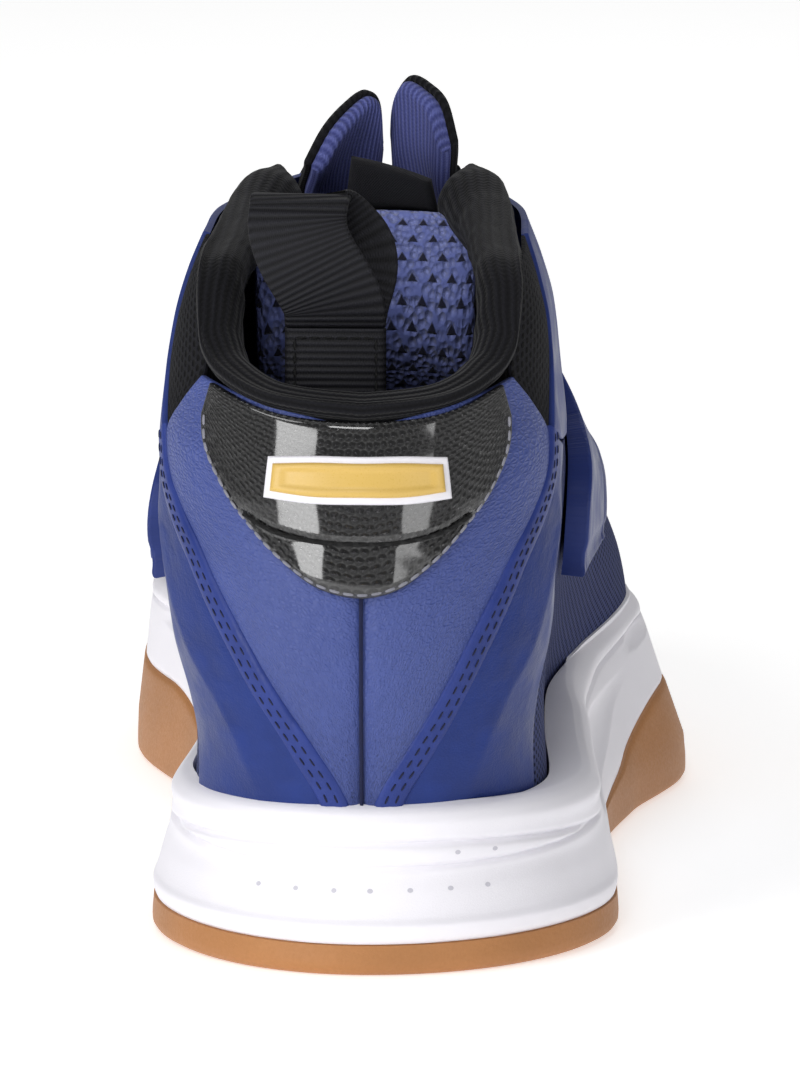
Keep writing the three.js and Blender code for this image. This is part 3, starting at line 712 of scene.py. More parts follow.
# ---------------------------------------------------------------- sole
RUBBER = 4.0
RING = 300
RING_PHI = -PI + (np.arange(RING) + 0.5) * 2 * PI / RING
LEVEL_LOW, LEVEL_TOP = 6, 31
HEEL_END, TOE_END = 46, 74
lip_top = profile([
    (0, 30.8), (30, 29.6), (62, 29.5), (100, 31), (150, 35), (185, 38), (235, 35), (275, 33), (302, 35),
])
gum_top = profile([(0, 6.0), (60, 6.8), (108, 7), (135, 10), (180, 20), (215, 20), (255, 15), (302, 19)])


def sole_middle(phi):
    """The place along the sole, ignoring how far out a point is."""
    return np.clip(SOLE_LENGTH * (1 - np.cos(phi)) / 2, 0, SOLE_LENGTH)


def sole_points(phi, out, z):
    """Points around the sole, out mm beyond its outline, at heights z before the toe spring."""
    y0, y1 = -out, SOLE_LENGTH + out
    along = lerp(y0, y1, (1 - np.cos(phi)) / 2)
    width = np.where(np.sin(phi) >= 0, sole_lateral(along), sole_medial(along)) + out
    ends = arc((along - y0) / HEEL_END) * arc((y1 - along) / TOE_END)
    x = centre_line(along) + np.sign(np.sin(phi)) * width * ends
    return np.stack([x, along, z + lift(along)], -1)


def lean(middle, z, phi):
    """How far out the walls lean from the arch forward, less than nothing because they lean in."""
    slope = lerp(0.1, 0.33, smooth(-0.4, 0.4, np.sin(phi)))
    return -slope * np.maximum(0, z - 8) * smooth(95, 150, middle)


HEEL_WALL = profile([
    (6, -0.4), (7.2, 0.1), (9.3, 0.3), (10.6, -0.7), (15, -2.1), (19, -3.3), (22, -3.3), (25, -3.4),
    (27.5, -3.3), (29.2, -3.9), (30.3, -5.0), (31, -6.9),
])
SIDE_WALL = profile([
    (6, -0.3), (8.7, 0.1), (13, -0.8), (17, -1.7), (20, -2.6), (24, -3.2), (28, -3.9), (30, -5.0), (31, -6.9),
])
FORE_WALL = profile([(6, -0.8), (7.5, -0.3), (20, -0.3), (26, -0.6), (29, -1.3), (30.3, -2.3), (31, -3.8)])


def sole_features(phi, level):
    """Creases round the heel and recesses in the waist; level runs from LEVEL_LOW to LEVEL_TOP."""
    turn = np.abs(phi)
    back_share = np.clip(1 - (turn / 0.74) ** 2, 0, 1)
    upper, lower = 21.9 + 2.3 * back_share, 21.9 - 2.4 * back_share
    fade = smooth(0.86, 0.6, turn)
    creases = -0.95 * np.exp(-((level - upper) / 0.55) ** 2) - 0.85 * np.exp(-((level - lower) / 0.5) ** 2)
    crescent = 0.35 * np.exp(-((level - 22) / 1.6) ** 2) * back_share
    middle = sole_middle(phi)
    drop = 17.5 + 0.02 * (middle - 110)
    reach = smooth(66, 96, middle) * smooth(162, 120, middle)
    teardrop = -1.9 * reach * np.clip(1 - ((level - drop) / (1.2 + 4.2 * reach)) ** 2, 0, 1) ** 0.8
    spot = -1.3 * np.clip(1 - ((middle - 176) / 11) ** 2 - ((level - 23) / 3.2) ** 2, 0, 1) ** 0.7
    roll = 0.5 * np.exp(-((level - 27.4) / 1.7) ** 2) * smooth(0.3, 0.8, turn) * smooth(2.7, 2.2, turn)
    seam = -0.55 * np.exp(-((level - 24.9) / 0.5) ** 2) * smooth(0.7, 1.0, turn) * smooth(2.9, 2.4, turn)
    return fade * (creases + crescent) + teardrop + spot + roll + seam


def midsole_wall(phi, level):
    """How far out the midsole's wall is, and its height."""
    middle = sole_middle(phi)
    heel = lerp(HEEL_WALL(level), SIDE_WALL(level), smooth(0.45, 1.0, np.abs(phi)))
    z = lerp(gum_top(middle), lip_top(middle), (level - LEVEL_LOW) / (LEVEL_TOP - LEVEL_LOW))
    wall = lerp(heel, FORE_WALL(level), smooth(95, 150, middle))
    return wall + lean(middle, z, phi) + sole_features(phi, level), z


def upper_ring(depth, z_of):
    """A ring just inside the upper, at the heights z_of(along)."""
    return hull(RING_PHI, z_of(along_at(RING_PHI, 25)), depth)


def build_midsole():
    levels = [*np.linspace(LEVEL_LOW, 7.4, 5), *np.linspace(7.9, 29, 62), *np.linspace(29.3, LEVEL_TOP, 9)]
    phi = RING_PHI
    rings = [sole_points(phi, -8.0, RUBBER + 0.2)]
    middle = sole_middle(phi)
    top = gum_top(middle)
    rings.append(sole_points(phi, lean(middle, top, phi) - 3.6, top - 0.2))
    for level in levels:
        rings.append(sole_points(phi, *midsole_wall(phi, level)))
    rings.append(upper_ring(0.35, lambda a: lip_top(a) - 0.3))
    for share in (0.7, 0.35, 0.0):
        rings.append(upper_ring(0.3, lambda a: lerp(floor_height(a), lip_top(a), share)))
    obj = ring_solid("midsole_shell", rings, MAT["white"])
    return place(obj, "shoe", "midsole_foam", "midsole")


def build_outsole():
    phi = RING_PHI
    middle = sole_middle(phi)
    top = gum_top(middle)
    rings = []
    for out, z in ((-7.0, 1.7), (-6.6, 0.0), (-2.2, 0.0), (-1.1, 0.2), (-0.2, 0.8), (0.25, 1.6), (0.3, 2.6)):
        rings.append(sole_points(phi, out, z))
    for share in (0.1, 0.35, 0.6, 0.85, 0.93):
        z = lerp(2.9, top, share)
        rings.append(sole_points(phi, lean(middle, z, phi) + 0.3 * (1 - share), z))
    for out, drop in ((-0.3, 0.15), (-0.8, 0.0), (-1.4, 0.1), (-3.2, 0.3)):
        z = top - drop
        rings.append(sole_points(phi, lean(middle, z, phi) + out, z))
    rings.append(sole_points(phi, -7.4, RUBBER))
    obj = ring_solid("outsole_shell", rings, MAT["gum"])
    return place(obj, "shoe", "gum_rubber", "outsole")


def build_tread():
    """Herringbone lugs over the whole tread, with a smooth shank stretch and a pivot circle."""
    margin = 6.8
    along = np.linspace(margin + 0.4, SOLE_LENGTH - margin - 0.4, 300)
    y, t = np.meshgrid(along, np.linspace(-1, 1, 104), indexing="ij")
    ends = arc(y / HEEL_END) * arc((SOLE_LENGTH - y) / TOE_END)
    half = np.where(t >= 0, sole_lateral(y), sole_medial(y)) * ends - margin
    x = centre_line(y) + t * np.maximum(half, 0.5)
    zigzag = 5.0 * np.abs(np.mod(x / 11.0, 2) - 1)
    wave = np.mod(y + zigzag, 7.0) / 7.0
    groove = smooth(0.0, 0.12, wave) * smooth(0.5, 0.38, wave)
    radius = np.hypot(x - centre_line(y), y - 196)
    pivot = 0.5 + 0.5 * np.sign(np.sin(radius * 2 * PI / 6.5))
    lug = np.where(radius < 20, pivot, 1 - groove)
    flat = smooth(68, 74, y) * smooth(158, 152, y) * (np.abs(x - centre_line(y)) < 24)
    z = lerp(1.65 * (1 - lug), 1.2, flat)
    points = np.stack([x, y, z + lift(y)], -1)
    inside = points.copy()
    inside[..., 2] = 2.2 + lift(y)
    obj = shell("tread", inside, points, MAT["gum"], sharp=35)
    return place(obj, "shoe", "gum_rubber")


def build_pinholes():
    """Small vents above the rubber at the back of the heel, drawn as flat grey discs of painted shade."""
    spots = [(x, 15.6) for x in np.arange(-19, 26, 7.0)] + [(x, 22.1) for x in (17.5, 24.0)]
    size, angle = 0.42, np.linspace(0, 2 * PI, 12, endpoint=False)
    points, faces = [], []
    for x, level in spots:
        search = math.asin(x / HEEL_END) * 0.62 + np.linspace(-0.4, 0.4, 80)
        near = sole_points(search, *midsole_wall(search, level))
        phi = search[np.argmin(np.abs(near[:, 0] - x))] + size * np.cos(angle) / PHI_MM
        out, z = midsole_wall(phi, level + size * np.sin(angle))
        faces.append(list(range(len(points), len(points) + 12)))
        points += sole_points(phi, out + 0.03, z).tolist()
    obj = new_object("sole_pinholes", points, faces, None, MAT["vent"], 0)
    return place(obj, "shoe", "midsole_foam")


build_midsole()
build_outsole()
build_tread()
build_pinholes()


# ---------------------------------------------------------------- panels of the upper
CENTRE = [(0.0, 27.0), (0.0, 45.0), (0.0, 62.0), (0.0, 80.0), (0.0, 99.5)]
V_SEAM = [
    (0.03, 25.5), (0.05, 31), (0.14, 40), (0.235, 49), (0.32, 58), (0.43, 67), (0.53, 74), (0.67, 81),
    (0.8, 87.5), (0.885, 94.5),
]
SIDE_FRONT = [(0.6, 20.6), (0.61, 31), (0.65, 48), (0.74, 60), (0.8, 72), (0.98, 82), (1.2, 88.5)]
SIDES = (("lateral", lambda points: points), ("medial", mirrored))


def low(along):
    """The place where the upper meets the sole, on the lateral side."""
    return side(along, float(floor_height(along)) + 0.4)


def shift(points, ahead):
    """Moves a track sideways over the surface, in millimetres near the heel."""
    return [(phi + ahead / PHI_MM, z) for phi, z in points]


def between(a, b, count):
    """Straight run of points from a to b."""
    return [(lerp(a[0], b[0], t), lerp(a[1], b[1], t)) for t in np.linspace(0, 1, count)]


VAMP_LINE = between(low(196), front(22, 72), 6)
EYESTAY_FOOT, EYESTAY_TURN = front(22, 72.7), (1.2, 89.4)
EYESTAY_LOW = between(EYESTAY_FOOT, EYESTAY_TURN, 5) + [(0.925, 94.6)]
EYESTAY_TOP = [front(5, 134), (2.3, 131.6), (2, 130.2), (1.72, 129), (1.45, 128)]
ANKLE_REAR = [(0.79, 99.5), (0.7, 107), (0.735, 113), (0.84, 120), (0.975, 126)]
ANKLE_FRONT = [(0.905, 95.0), (1.42, 128)]


def soft(amount, scale, seed):
    """A gentle, seeded unevenness over the surface, in millimetres."""
    shifts = np.random.default_rng(seed).uniform(0, 2 * PI, (5, 3))

    def at(phi, z):
        total = 0.0
        for k, (a, b, _) in enumerate(shifts):
            f = (k + 1.0) / scale
            total = total + np.sin(phi * 45 * f * math.cos(a) + z * f * math.sin(a) + b) / (k + 1.0)
        return amount * total

    return at


def build_heel_panels():
    uneven = soft(0.16, 11.0, 3)

    def relief(phi, z, s, t):
        puffed = 0.6 * np.sin(PI * np.clip(t, 0, 1)) ** 0.8 * smooth(0, 0.1, s) * smooth(1.0, 0.85, s)
        seam = -0.7 * np.exp(-((phi * HEEL_PHI_MM) / 1.1) ** 2)
        return puffed + seam + uneven(phi, z)

    edge = [(0.0, 25.2)] + V_SEAM[1:] + [(0.8, 101.0), (0.7, 106.4)]
    for name, turn in SIDES:
        tracks = track(turn(CENTRE)), track(turn(edge))
        obj = panel("heel_panel_" + name + "_skin", *tracks, 110, 46, -1.2, 0.0, MAT["heel"], 0.5, relief)
        place(obj, "shoe", "heel_leather", "heel_panel_" + name)


def build_side_panels():
    uneven = soft(0.2, 13.0, 5)

    def relief(phi, z, s, t):
        ridge = np.interp(z, (28, 40, 49, 57.5, 67.5, 80), (0.3, 0.37, 0.45, 0.565, 0.68, 0.86))
        off = np.abs(np.abs(phi) - ridge) * HEEL_PHI_MM
        crest = 1.25 * np.exp(-off / 4.5) * smooth(26, 40, z) * smooth(90, 74, z)
        return 0.1 + uneven(phi, z) + crest * smooth(0.0, 0.25, t) * smooth(1.0, 0.8, t)

    for name, turn in SIDES:
        rear, fore = track(turn(shift(V_SEAM, 0.1))), track(turn(SIDE_FRONT))
        obj = panel("side_panel_" + name + "_skin", rear, fore, 90, 40, -1.2, 0.0, MAT["side"], 0.6, relief)
        place(obj, "shoe", "side_synthetic", "side_panel_" + name)


def build_quarters():
    uneven = soft(0.22, 17.0, 9)
    for name, turn in SIDES:
        rear, fore = track(turn(shift(SIDE_FRONT, -0.3))), track(turn(VAMP_LINE))
        cloth = panel("quarter_mesh_" + name + "_skin", rear, fore, 70, 100, -1.2, -0.35, MAT["mesh"], 0.4,
                      lambda phi, z, s, t: uneven(phi, z))
        place(cloth, "shoe", "blue_mesh", "quarter_mesh_" + name)
        low_edge, top_edge = track(turn(EYESTAY_LOW)), track(turn(EYESTAY_TOP))
        stay = panel("eyestay_" + name + "_skin", low_edge, top_edge, 80, 40, -1.2, 0.15, MAT["eyestay"], 0.7,
                     lambda phi, z, s, t: 0.6 * uneven(phi, z))
        place(stay, "shoe", "eyestay_synthetic", "eyestay_" + name)
        edges = track(turn(ANKLE_REAR)), track(turn(ANKLE_FRONT))
        inset = panel("ankle_mesh_" + name + "_skin", *edges, 40, 14, -1.2, -0.5, MAT["ankle"], 0.4)
        place(inset, "shoe", "black_mesh", "ankle_mesh_" + name)


build_heel_panels()
build_side_panels()
build_quarters()


# ---------------------------------------------------------------- tubes, piping and stitches
def frames(line):
    """Unit tangents of a line of points."""
    tangent = np.gradient(line, axis=0)
    return tangent / np.maximum(np.linalg.norm(tangent, axis=1, keepdims=True), 1e-9)


def hull_normal(phi, z):
    step = hull(phi, z, 1.0) - hull(phi, z, 0.0)
    return step / np.linalg.norm(step, axis=-1, keepdims=True)


def strip(name, line, outward, section, material, closed=False):
    """A swept bar. section is (sideways, outward) pairs in mm, drawn anticlockwise."""
    tangent = frames(line)
    out = outward - (outward * tangent).sum(1, keepdims=True) * tangent
    out /= np.maximum(np.linalg.norm(out, axis=1, keepdims=True), 1e-9)
    sideways = np.cross(out, tangent)
    section = np.asarray(section, float)
    rings = line[:, None] + sideways[:, None] * section[None, :, :1] + out[:, None] * section[None, :, 1:]
    rows, cols = rings.shape[:2]
    faces = grid_faces(rows, cols, wrap_rows=closed, wrap_cols=True)
    if not closed:
        faces += end_caps(rows, cols)
    v, u = np.meshgrid(run_length(section), run_length(line))
    uv = np.stack([u, v], -1).reshape(-1, 2)
    return new_object(name, rings.reshape(-1, 3), faces, uv, material, 50)


def rounded(width, thick, base=0.0):
    """A flat section with half-round edges, lying base mm above the line."""
    r = thick / 2
    section = []
    for x, start in ((width / 2 - r, -PI / 2), (r - width / 2, PI / 2)):
        for a in np.linspace(start, start + PI, 5):
            section.append((x + r * math.cos(a), base + r + r * math.sin(a)))
    return section


def on_hull(points, depth, count):
    """A line of points over the surface through (phi, z) controls, with the surface's normals."""
    phi, z = track(points)(np.linspace(0, 1, count))
    return hull(phi, z, depth), hull_normal(phi, z)


def picked(at, knots, rows):
    """Rows of numbers given at knots, read off at other places between them."""
    return np.stack([np.interp(at, knots, column) for column in rows.T], -1)


def resample(line, normals, pitch):
    """Even steps of about the pitch along a line: places, normals and directions."""
    along = run_length(line)
    count = max(2, int(along[-1] / pitch))
    at = (np.arange(count) + 0.5) * along[-1] / count
    return [picked(at, along, rows) for rows in (line, normals, frames(line))]


CAPSULE = np.array([
    (math.cos(a) * r, t, math.sin(a) * r)
    for t, r in ((-0.5, 0.35), (-0.38, 0.85), (0, 1.0), (0.38, 0.85), (0.5, 0.35))
    for a in np.linspace(0, 2 * PI, 6, endpoint=False)
])


def stitches(name, rows, material, length, thick, pitch):
    """Rows of short stitches. Each row is (line, normals) on the surface."""
    points, faces, uvs = [], [], []
    capsule_faces = grid_faces(5, 6, wrap_cols=True) + end_caps(5, 6)
    for line, normals in rows:
        at, up, ahead = resample(line, normals, pitch)
        sideways = np.cross(up, ahead)
        for p, a, s, u in zip(at, ahead, sideways, up):
            start = len(points)
            shape = p + np.outer(CAPSULE[:, 1] * length, a) + np.outer(CAPSULE[:, 0] * thick / 2, s)
            shape = shape + np.outer((CAPSULE[:, 2] * 0.5 + 0.1) * thick, u)
            points += shape.tolist()
            faces += [[i + start for i in face] for face in capsule_faces]
            uvs += [(c[1] * length, c[0] * thick) for c in CAPSULE]
    return new_object(name, points, faces, uvs, material, 0)


# ---------------------------------------------------------------- heel seams
WELT_SECTION = [
    (-2.6, -0.7), (2.6, -0.7), (2.6, 0.0), (2.2, 0.4), (1.3, 0.62), (0, 0.55), (-1.3, 0.62), (-2.2, 0.4),
    (-2.6, 0.0),
]


def build_v_seams():
    """The side panels end at the heel in a rounded welt with two rows of stitches."""
    for name, turn in SIDES:
        line, normal = on_hull(turn(shift(V_SEAM, 1.9)), 0.1, 160)
        welt = strip("seam_welt_" + name, line, normal, WELT_SECTION, MAT["welt"])
        place(welt, "shoe", "side_synthetic")
        rows = [on_hull(turn(shift(V_SEAM, at)), 0.66, 200) for at in (1.0, 2.8)]
        obj = stitches("seam_stitches_" + name, rows, MAT["navy_thread"], 1.6, 0.42, 2.6)
        place(obj, "shoe", "side_synthetic")


def build_centre_seam():
    """A thin cord in the groove between the two heel panels."""
    line, normal = on_hull([(0.0, z) for z in (28, 45, 62, 72)], -0.05, 120)
    cord = strip("centre_seam_cord", line, normal, rounded(0.7, 0.5, base=-0.3), MAT["navy_thread"])
    place(cord, "shoe", "heel_leather")


build_v_seams()
build_centre_seam()


# ---------------------------------------------------------------- heel patch and badge
PATCH_LOW = full_round([
    (0, 69.2), (0.11, 70.6), (0.22, 74.6), (0.35, 81), (0.48, 88.3), (0.585, 96), (0.61, 100.5),
])
PATCH_TOP = full_round([(0, 100.6), (0.3, 101.6), (0.6, 105.6)])
SMILE = full_round([(0, 79.0), (0.17, 79.6), (0.27, 80.9), (0.365, 83.4)])


def build_patch():
    uneven = soft(0.3, 8.0, 21)
    smile_phi, smile_z = track(SMILE)(np.linspace(0, 1, 60))

    def relief(phi, z, s, t):
        seam = np.interp(phi, smile_phi, smile_z)
        below = smooth(seam + 0.4, seam - 1.0, z)
        step = -0.55 * smooth(seam + 1.2, seam - 0.2, z)
        puffed = 0.5 * np.sin(PI * s) ** 0.5 * np.sin(PI * np.clip(t, 0, 1)) ** 0.5
        return puffed + step + uneven(phi, z) * (0.5 + below)

    edges = track(PATCH_LOW), track(PATCH_TOP)
    obj = panel("heel_patch_skin", *edges, 120, 60, 0.35, 1.9, MAT["gloss"], 0.9, relief)
    place(obj, "shoe", "gloss_skin", "heel_patch")
    smile = on_hull(SMILE, 2.05, 160)
    obj = strip("patch_smile_seam", *smile, rounded(0.9, 0.6, -0.35), MAT["black_thread"])
    place(obj, "shoe", "gloss_skin")
    obj = stitches("patch_smile_stitches", [smile], MAT["black_thread"], 2.0, 0.75, 2.7)
    place(obj, "shoe", "gloss_skin")
    inset = [(phi * 0.965, lerp(z, 88.0, 0.04)) for phi, z in PATCH_LOW]
    obj = stitches("patch_stitches", [on_hull(inset, 1.95, 200)], MAT["grey_thread"], 1.9, 0.6, 2.5)
    place(obj, "shoe", "gloss_skin")


def build_badge():
    low_edge = track(full_round([(0, 86.0), (0.16, 86.0), (0.3, 86.6)]))
    top_edge = track(full_round([(0, 94.3), (0.16, 94.3), (0.3, 93.8)]))

    def relief(phi, z, s, t):
        inner = smooth(0.04, 0.1, s) * smooth(0.96, 0.9, s) * smooth(0.16, 0.3, t) * smooth(0.84, 0.7, t)
        return -0.35 * inner

    obj = panel("heel_badge_rim", low_edge, top_edge, 80, 16, 1.8, 2.9, MAT["badge_rim"], 0.6)
    place(obj, "shoe", "gloss_skin", "heel_badge")
    low_edge = track(full_round([(0, 87.2), (0.15, 87.2), (0.277, 87.8)]))
    top_edge = track(full_round([(0, 93.1), (0.15, 93.1), (0.277, 92.6)]))
    obj = panel("heel_badge_plate", low_edge, top_edge, 80, 16, 2.5, 3.6, MAT["badge"], 0.8, relief)
    place(obj, "shoe", "gloss_skin")


build_patch()
build_badge()


# ---------------------------------------------------------------- collar, ears and linings
def pad(name, track_a, track_b, cols, rows, inner, outer, material, radius, tuck, grow=0.0):
    """A padded sheet with fully rounded edges. tuck(s, t) moves both faces; grow lets it run past them."""
    s, drop_s, t, drop_t = sheet_steps(track_a, track_b, cols, rows, outer, radius)
    (phi_a, z_a), (phi_b, z_b) = track_a(s), track_b(s)
    tt = np.broadcast_to(t[:, None], (len(t), len(s)))
    ss = np.broadcast_to(s, tt.shape)
    reach = tt * (1 + grow)
    phi, z = lerp(phi_a, phi_b, reach), lerp(z_a, z_b, reach)
    full = 1 - np.maximum(drop_s[None, :], drop_t[:, None]) / radius
    middle, half = (inner + outer) / 2, (outer - inner) / 2 * full
    shifted = tuck(ss, tt)
    top = hull(phi, z, middle + half + shifted)
    low = hull(phi, z, middle - np.maximum(half, 0.02) + shifted)
    return shell(name, top, low, material, 60, grid_uv(top, len(s) // 2)[..., ::-1])


COLLAR_EDGE = profile([
    (0, 100.6), (0.3, 102), (0.6, 106.4), (0.7, 109.6), (0.76, 113.6), (0.86, 119.6), (0.94, 123.6),
    (1.02, 125.6), (1.2, 127), (1.5, 128.2), (1.75, 129.4), (2, 131),
])
COLLAR_TOP = profile([
    (0, 105.8), (0.3, 106.7), (0.6, 111.2), (0.7, 115.2), (0.8, 120.6), (0.9, 125.6), (1, 128.4),
    (1.2, 130.4), (1.45, 132.4), (1.72, 135.6), (1.95, 138.8), (2.2, 138),
])
COLLAR_END = 2.12
ROLL_POINTS = 64


def collar_row(phi):
    """The roll's section at one place, as (z, depth) from its outer seam over the top and down the inside."""
    turn = abs(phi)
    edge, top = float(COLLAR_EDGE(turn)), float(COLLAR_TOP(turn))
    close = 1 - 0.55 * float(smooth(COLLAR_END - 0.12, COLLAR_END + 0.01, turn))
    thick = (lerp(8.2, 8.8, float(smooth(0.4, 1.0, turn))) + 2.0 * float(smooth(1.5, 1.95, turn))) * close
    puff = lerp(1.6, 1.2, float(smooth(0.3, 0.9, turn))) * close
    outer = [
        (edge + 0.2, -0.6), (edge + 1.0, 0.7 * puff),
        (lerp(edge, top, 0.32), puff), (lerp(edge, top, 0.62), puff * 0.95),
    ]
    crown = [(top - 1.6, puff * 0.1), (top, -thick * 0.32), (top - 0.5, -thick * 0.68), (top - 3.4, -thick)]
    foot = lerp(86.0, 99.0, float(smooth(0.5, 1.5, turn)))
    inner = [
        (lerp(top, foot, 0.25), -thick - 0.8), (lerp(top, foot, 0.55), -thick - 0.4),
        (lerp(top, foot, 0.85), -6.8), (foot, -5.4),
    ]
    return through(np.array(outer + crown + inner), ROLL_POINTS)


def build_collar():
    """The roll is a thick skin. Forward of the ankle its upper part leans in."""
    rows = []
    for phi in np.linspace(-COLLAR_END, COLLAR_END, 200):
        z, depth = collar_row(phi).T
        leaned = depth - 3.4 * smooth(0.8, 1.25, abs(phi)) * smooth(119, 133, z)
        pinch = 0.16 * math.sin(phi * 31) + 0.12 * math.sin(phi * 53 + 1)
        rows.append(hull(phi, z, leaned + pinch * np.sin(np.linspace(0, PI, ROLL_POINTS))))
    outer = np.array(rows)
    inward = outer.mean(axis=1, keepdims=True) - outer
    inner = outer + inward / np.maximum(np.linalg.norm(inward, axis=-1, keepdims=True), 1e-9) * 1.2
    uv = grid_uv(outer, ROLL_POINTS // 2)[..., ::-1]
    obj = shell("collar_padding", outer[::-1], inner[::-1], MAT["knit"], 60, uv)
    place(obj, "shoe", "knit", "collar_roll")


EAR_LOW = [front(4, 124), front(11, 122.5), front(19, 121)]
# Each (half, z) is a place on the front, as front() takes it.
EAR_TOPS = {
    "lateral": [(1.4, 140), (2.2, 145.4), (6, 150.3), (12, 149.6), (16.5, 146), (18.5, 138)],
    "medial": [(0.9, 139), (1.8, 146), (6.5, 149), (12.5, 147), (18, 142), (21, 136)],
}


def build_ears():
    for name, turn in SIDES:
        flop = 1.0 if name == "medial" else -1.0

        def bend(s, t):
            return -1.6 * smooth(0.55, 1.0, t) * flop + 0.5 * np.sin(PI * s) * np.sin(PI * t)

        edges = track(turn(EAR_LOW)), track(turn([front(half, z) for half, z in EAR_TOPS[name]]))
        lining = pad("ear_lining_" + name, *edges, 70, 60, -6.4, -2.9, MAT["ear"], 1.7, bend)
        cover = pad("ear_shell_" + name, *edges, 70, 60, -3.4, -1.6, MAT["knit"], 0.8, bend, 0.02)
        place(lining, "shoe", "lining_knit", "collar_tip_" + name)
        place(cover, "shoe", "knit")


build_collar()
build_ears()


# ---------------------------------------------------------------- tongue
TONGUE_X = -2.5
TONGUE_ROUND = 2
TONGUE_LINE = [
    (224, 60.5), (214, 65.5), (203, 71.5), (182, 79), (160, 89.5), (141, 99.5), (124, 110), (109, 119),
    (97, 127.5),
]
LINING_LINE = [(203, 70.5), (182, 76), (162, 80), (142, 83), (122, 88), (105, 97), (93, 110), (93, 128.5)]
BAND_LINE = [(96.2, 128), (95.4, 132.2), (95, 136.4)]


def side_line(points, count):
    """A curve in side view through (along, z) points, with its outward normals."""
    line = through(np.array(points, float), count)
    ahead = frames(line)
    return line, np.stack([ahead[:, 1], -ahead[:, 0]], -1)


def tongue_sheet(name, points, halves, bends, inner, outer, material, radius, puff=None, slope=0.0,
                 centre=TONGUE_X, steps=(90, 110)):
    """A padded layer of the tongue with rounded edges. puff(u, t) thickens it on the side of the foot, slope
    raises its lateral edge towards the top, and steps are its rows and its length."""
    edge = min(radius, TONGUE_ROUND)
    s, drop_s = edge_steps(70, 2 * halves[0], radius)
    t, drop_t = edge_steps(*steps, edge)
    places = np.linspace(0, 1, 200)
    line, out = (picked(t, places, rows)[:, None] for rows in side_line(points, 200))
    u = (2 * s - 1)[None, :]
    tt = t[:, None]
    full = 1 - np.maximum(drop_s[None, :] / radius, drop_t[:, None] / edge)
    middle, half = (inner + outer) / 2, (outer - inner) / 2 * full
    bend = -lerp(bends[0], bends[1], tt) * u * u
    extra = 0.0 if puff is None else puff(u, tt) * full
    x = centre + u * lerp(halves[0], halves[1], tt)

    def face(depth):
        along = line[..., 0] + out[..., 0] * (depth + bend)
        z = line[..., 1] + out[..., 1] * (depth + bend) + slope * u * tt
        return np.stack([np.broadcast_to(x, along.shape), along, z], -1)

    top, low = face(middle + half), face(middle - np.maximum(half, 0.02) - extra)
    return shell(name, top, low, material, 60)


def build_tongue():
    ripple = np.random.default_rng(31).uniform(0, 2 * PI, 4)

    def plump(u, t):
        dome = 6.0 * (1 - u * u) * smooth(0.3, 0.72, t) * smooth(1.04, 0.84, t)
        wave = 0.4 * np.sin(u * 7 + ripple[0]) * np.sin(t * 19 + ripple[1])
        return dome + wave

    face = tongue_sheet("tongue_face_skin", TONGUE_LINE, (18, 15.4), (5, 7), 2.9, 3.9, MAT["band"], 0.8)
    core = tongue_sheet("tongue_core", TONGUE_LINE, (17.6, 13.5), (5, 7), -3.6, 2.6, MAT["band"], 3.0)
    skin = tongue_sheet("tongue_lining_skin", LINING_LINE, (19, 21), (5, 8), -5.1, -2.2, MAT["tongue"], 2.4,
                        plump)
    band = tongue_sheet("tongue_band", BAND_LINE, (9, 7.6), (2, 2), -2.4, 1.8, MAT["band"], 1.8,
                        slope=-2.2, centre=2.0, steps=(24, 8))
    layers = (
        (face, "black_mesh", "tongue_face"), (core, "foam", "tongue_foam"),
        (skin, "tongue_mesh", "tongue_lining"), (band, "webbing", "tongue_top_band"),
    )
    for obj, slot_name, node in layers:
        place(obj, "tongue", slot_name, node)


# ---------------------------------------------------------------- laces
LACE_ROWS = [77, 85, 95, 107, 120, 133]


def lace_strip(name, controls, depths):
    """A flat lace over the surface, through (phi, z) controls and at evenly spaced depths."""
    t = np.linspace(0, 1, 90)
    phi, z = track(controls)(t)
    depth = np.interp(t, np.linspace(0, 1, len(depths)), depths)
    return strip(name, hull(phi, z, depth), hull_normal(phi, z), rounded(5.6, 1.1), MAT["lace"])


def build_laces():
    for k, (a, b) in enumerate(zip(LACE_ROWS, LACE_ROWS[1:])):
        for flip in (False, True):
            left, right = front(18.5, a + 1.5), front(18.5, b - 1.5)
            points = [left, (PI, (a + b) / 2), (2 * PI - right[0], right[1])]
            if flip:
                points = [(2 * PI - phi, z) for phi, z in points]
            high = 1.35 if flip else 0.35
            name = "lace_%d%s" % (k + 1, "b" if flip else "a")
            obj = lace_strip(name, points, [-0.9, 0.3, 0.5, high, 0.5, 0.3, -0.9])
            place(obj, "shoe", "lace", *([] if flip else ["lace_cross_%d" % (k + 1)]))
    for turn in (1, -1):
        for k, z in enumerate(LACE_ROWS[:-1]):
            phi, z = front(18.0, z)
            phi = turn * phi
            centre, normal = hull(phi, z, 0.2), hull_normal(phi, z)
            angle = np.linspace(0, 2 * PI, 25)[:-1]
            side_way = np.cross(normal, (0, 0, 1.0))
            side_way /= np.linalg.norm(side_way)
            up = np.cross(side_way, normal)
            ring = centre + 3.3 * (np.outer(np.cos(angle), side_way) + np.outer(np.sin(angle), up))
            name = "eyelet_%s_%d" % ("lateral" if turn > 0 else "medial", k + 1)
            outward = np.repeat(normal[None], 24, 0)
            obj = strip(name, ring, outward, rounded(1.5, 1.0, -0.3), MAT["plate"], closed=True)
            place(obj, "shoe", "shank_plate")


# ---------------------------------------------------------------- strap
STRAP_FORE = [side(136, 57), side(150, 66), side(160, 76), front(16.5, 86.3)]
STRAP_REAR = [side(98, 57), side(99, 71), side(118, 89), front(16.5, 112.4)]


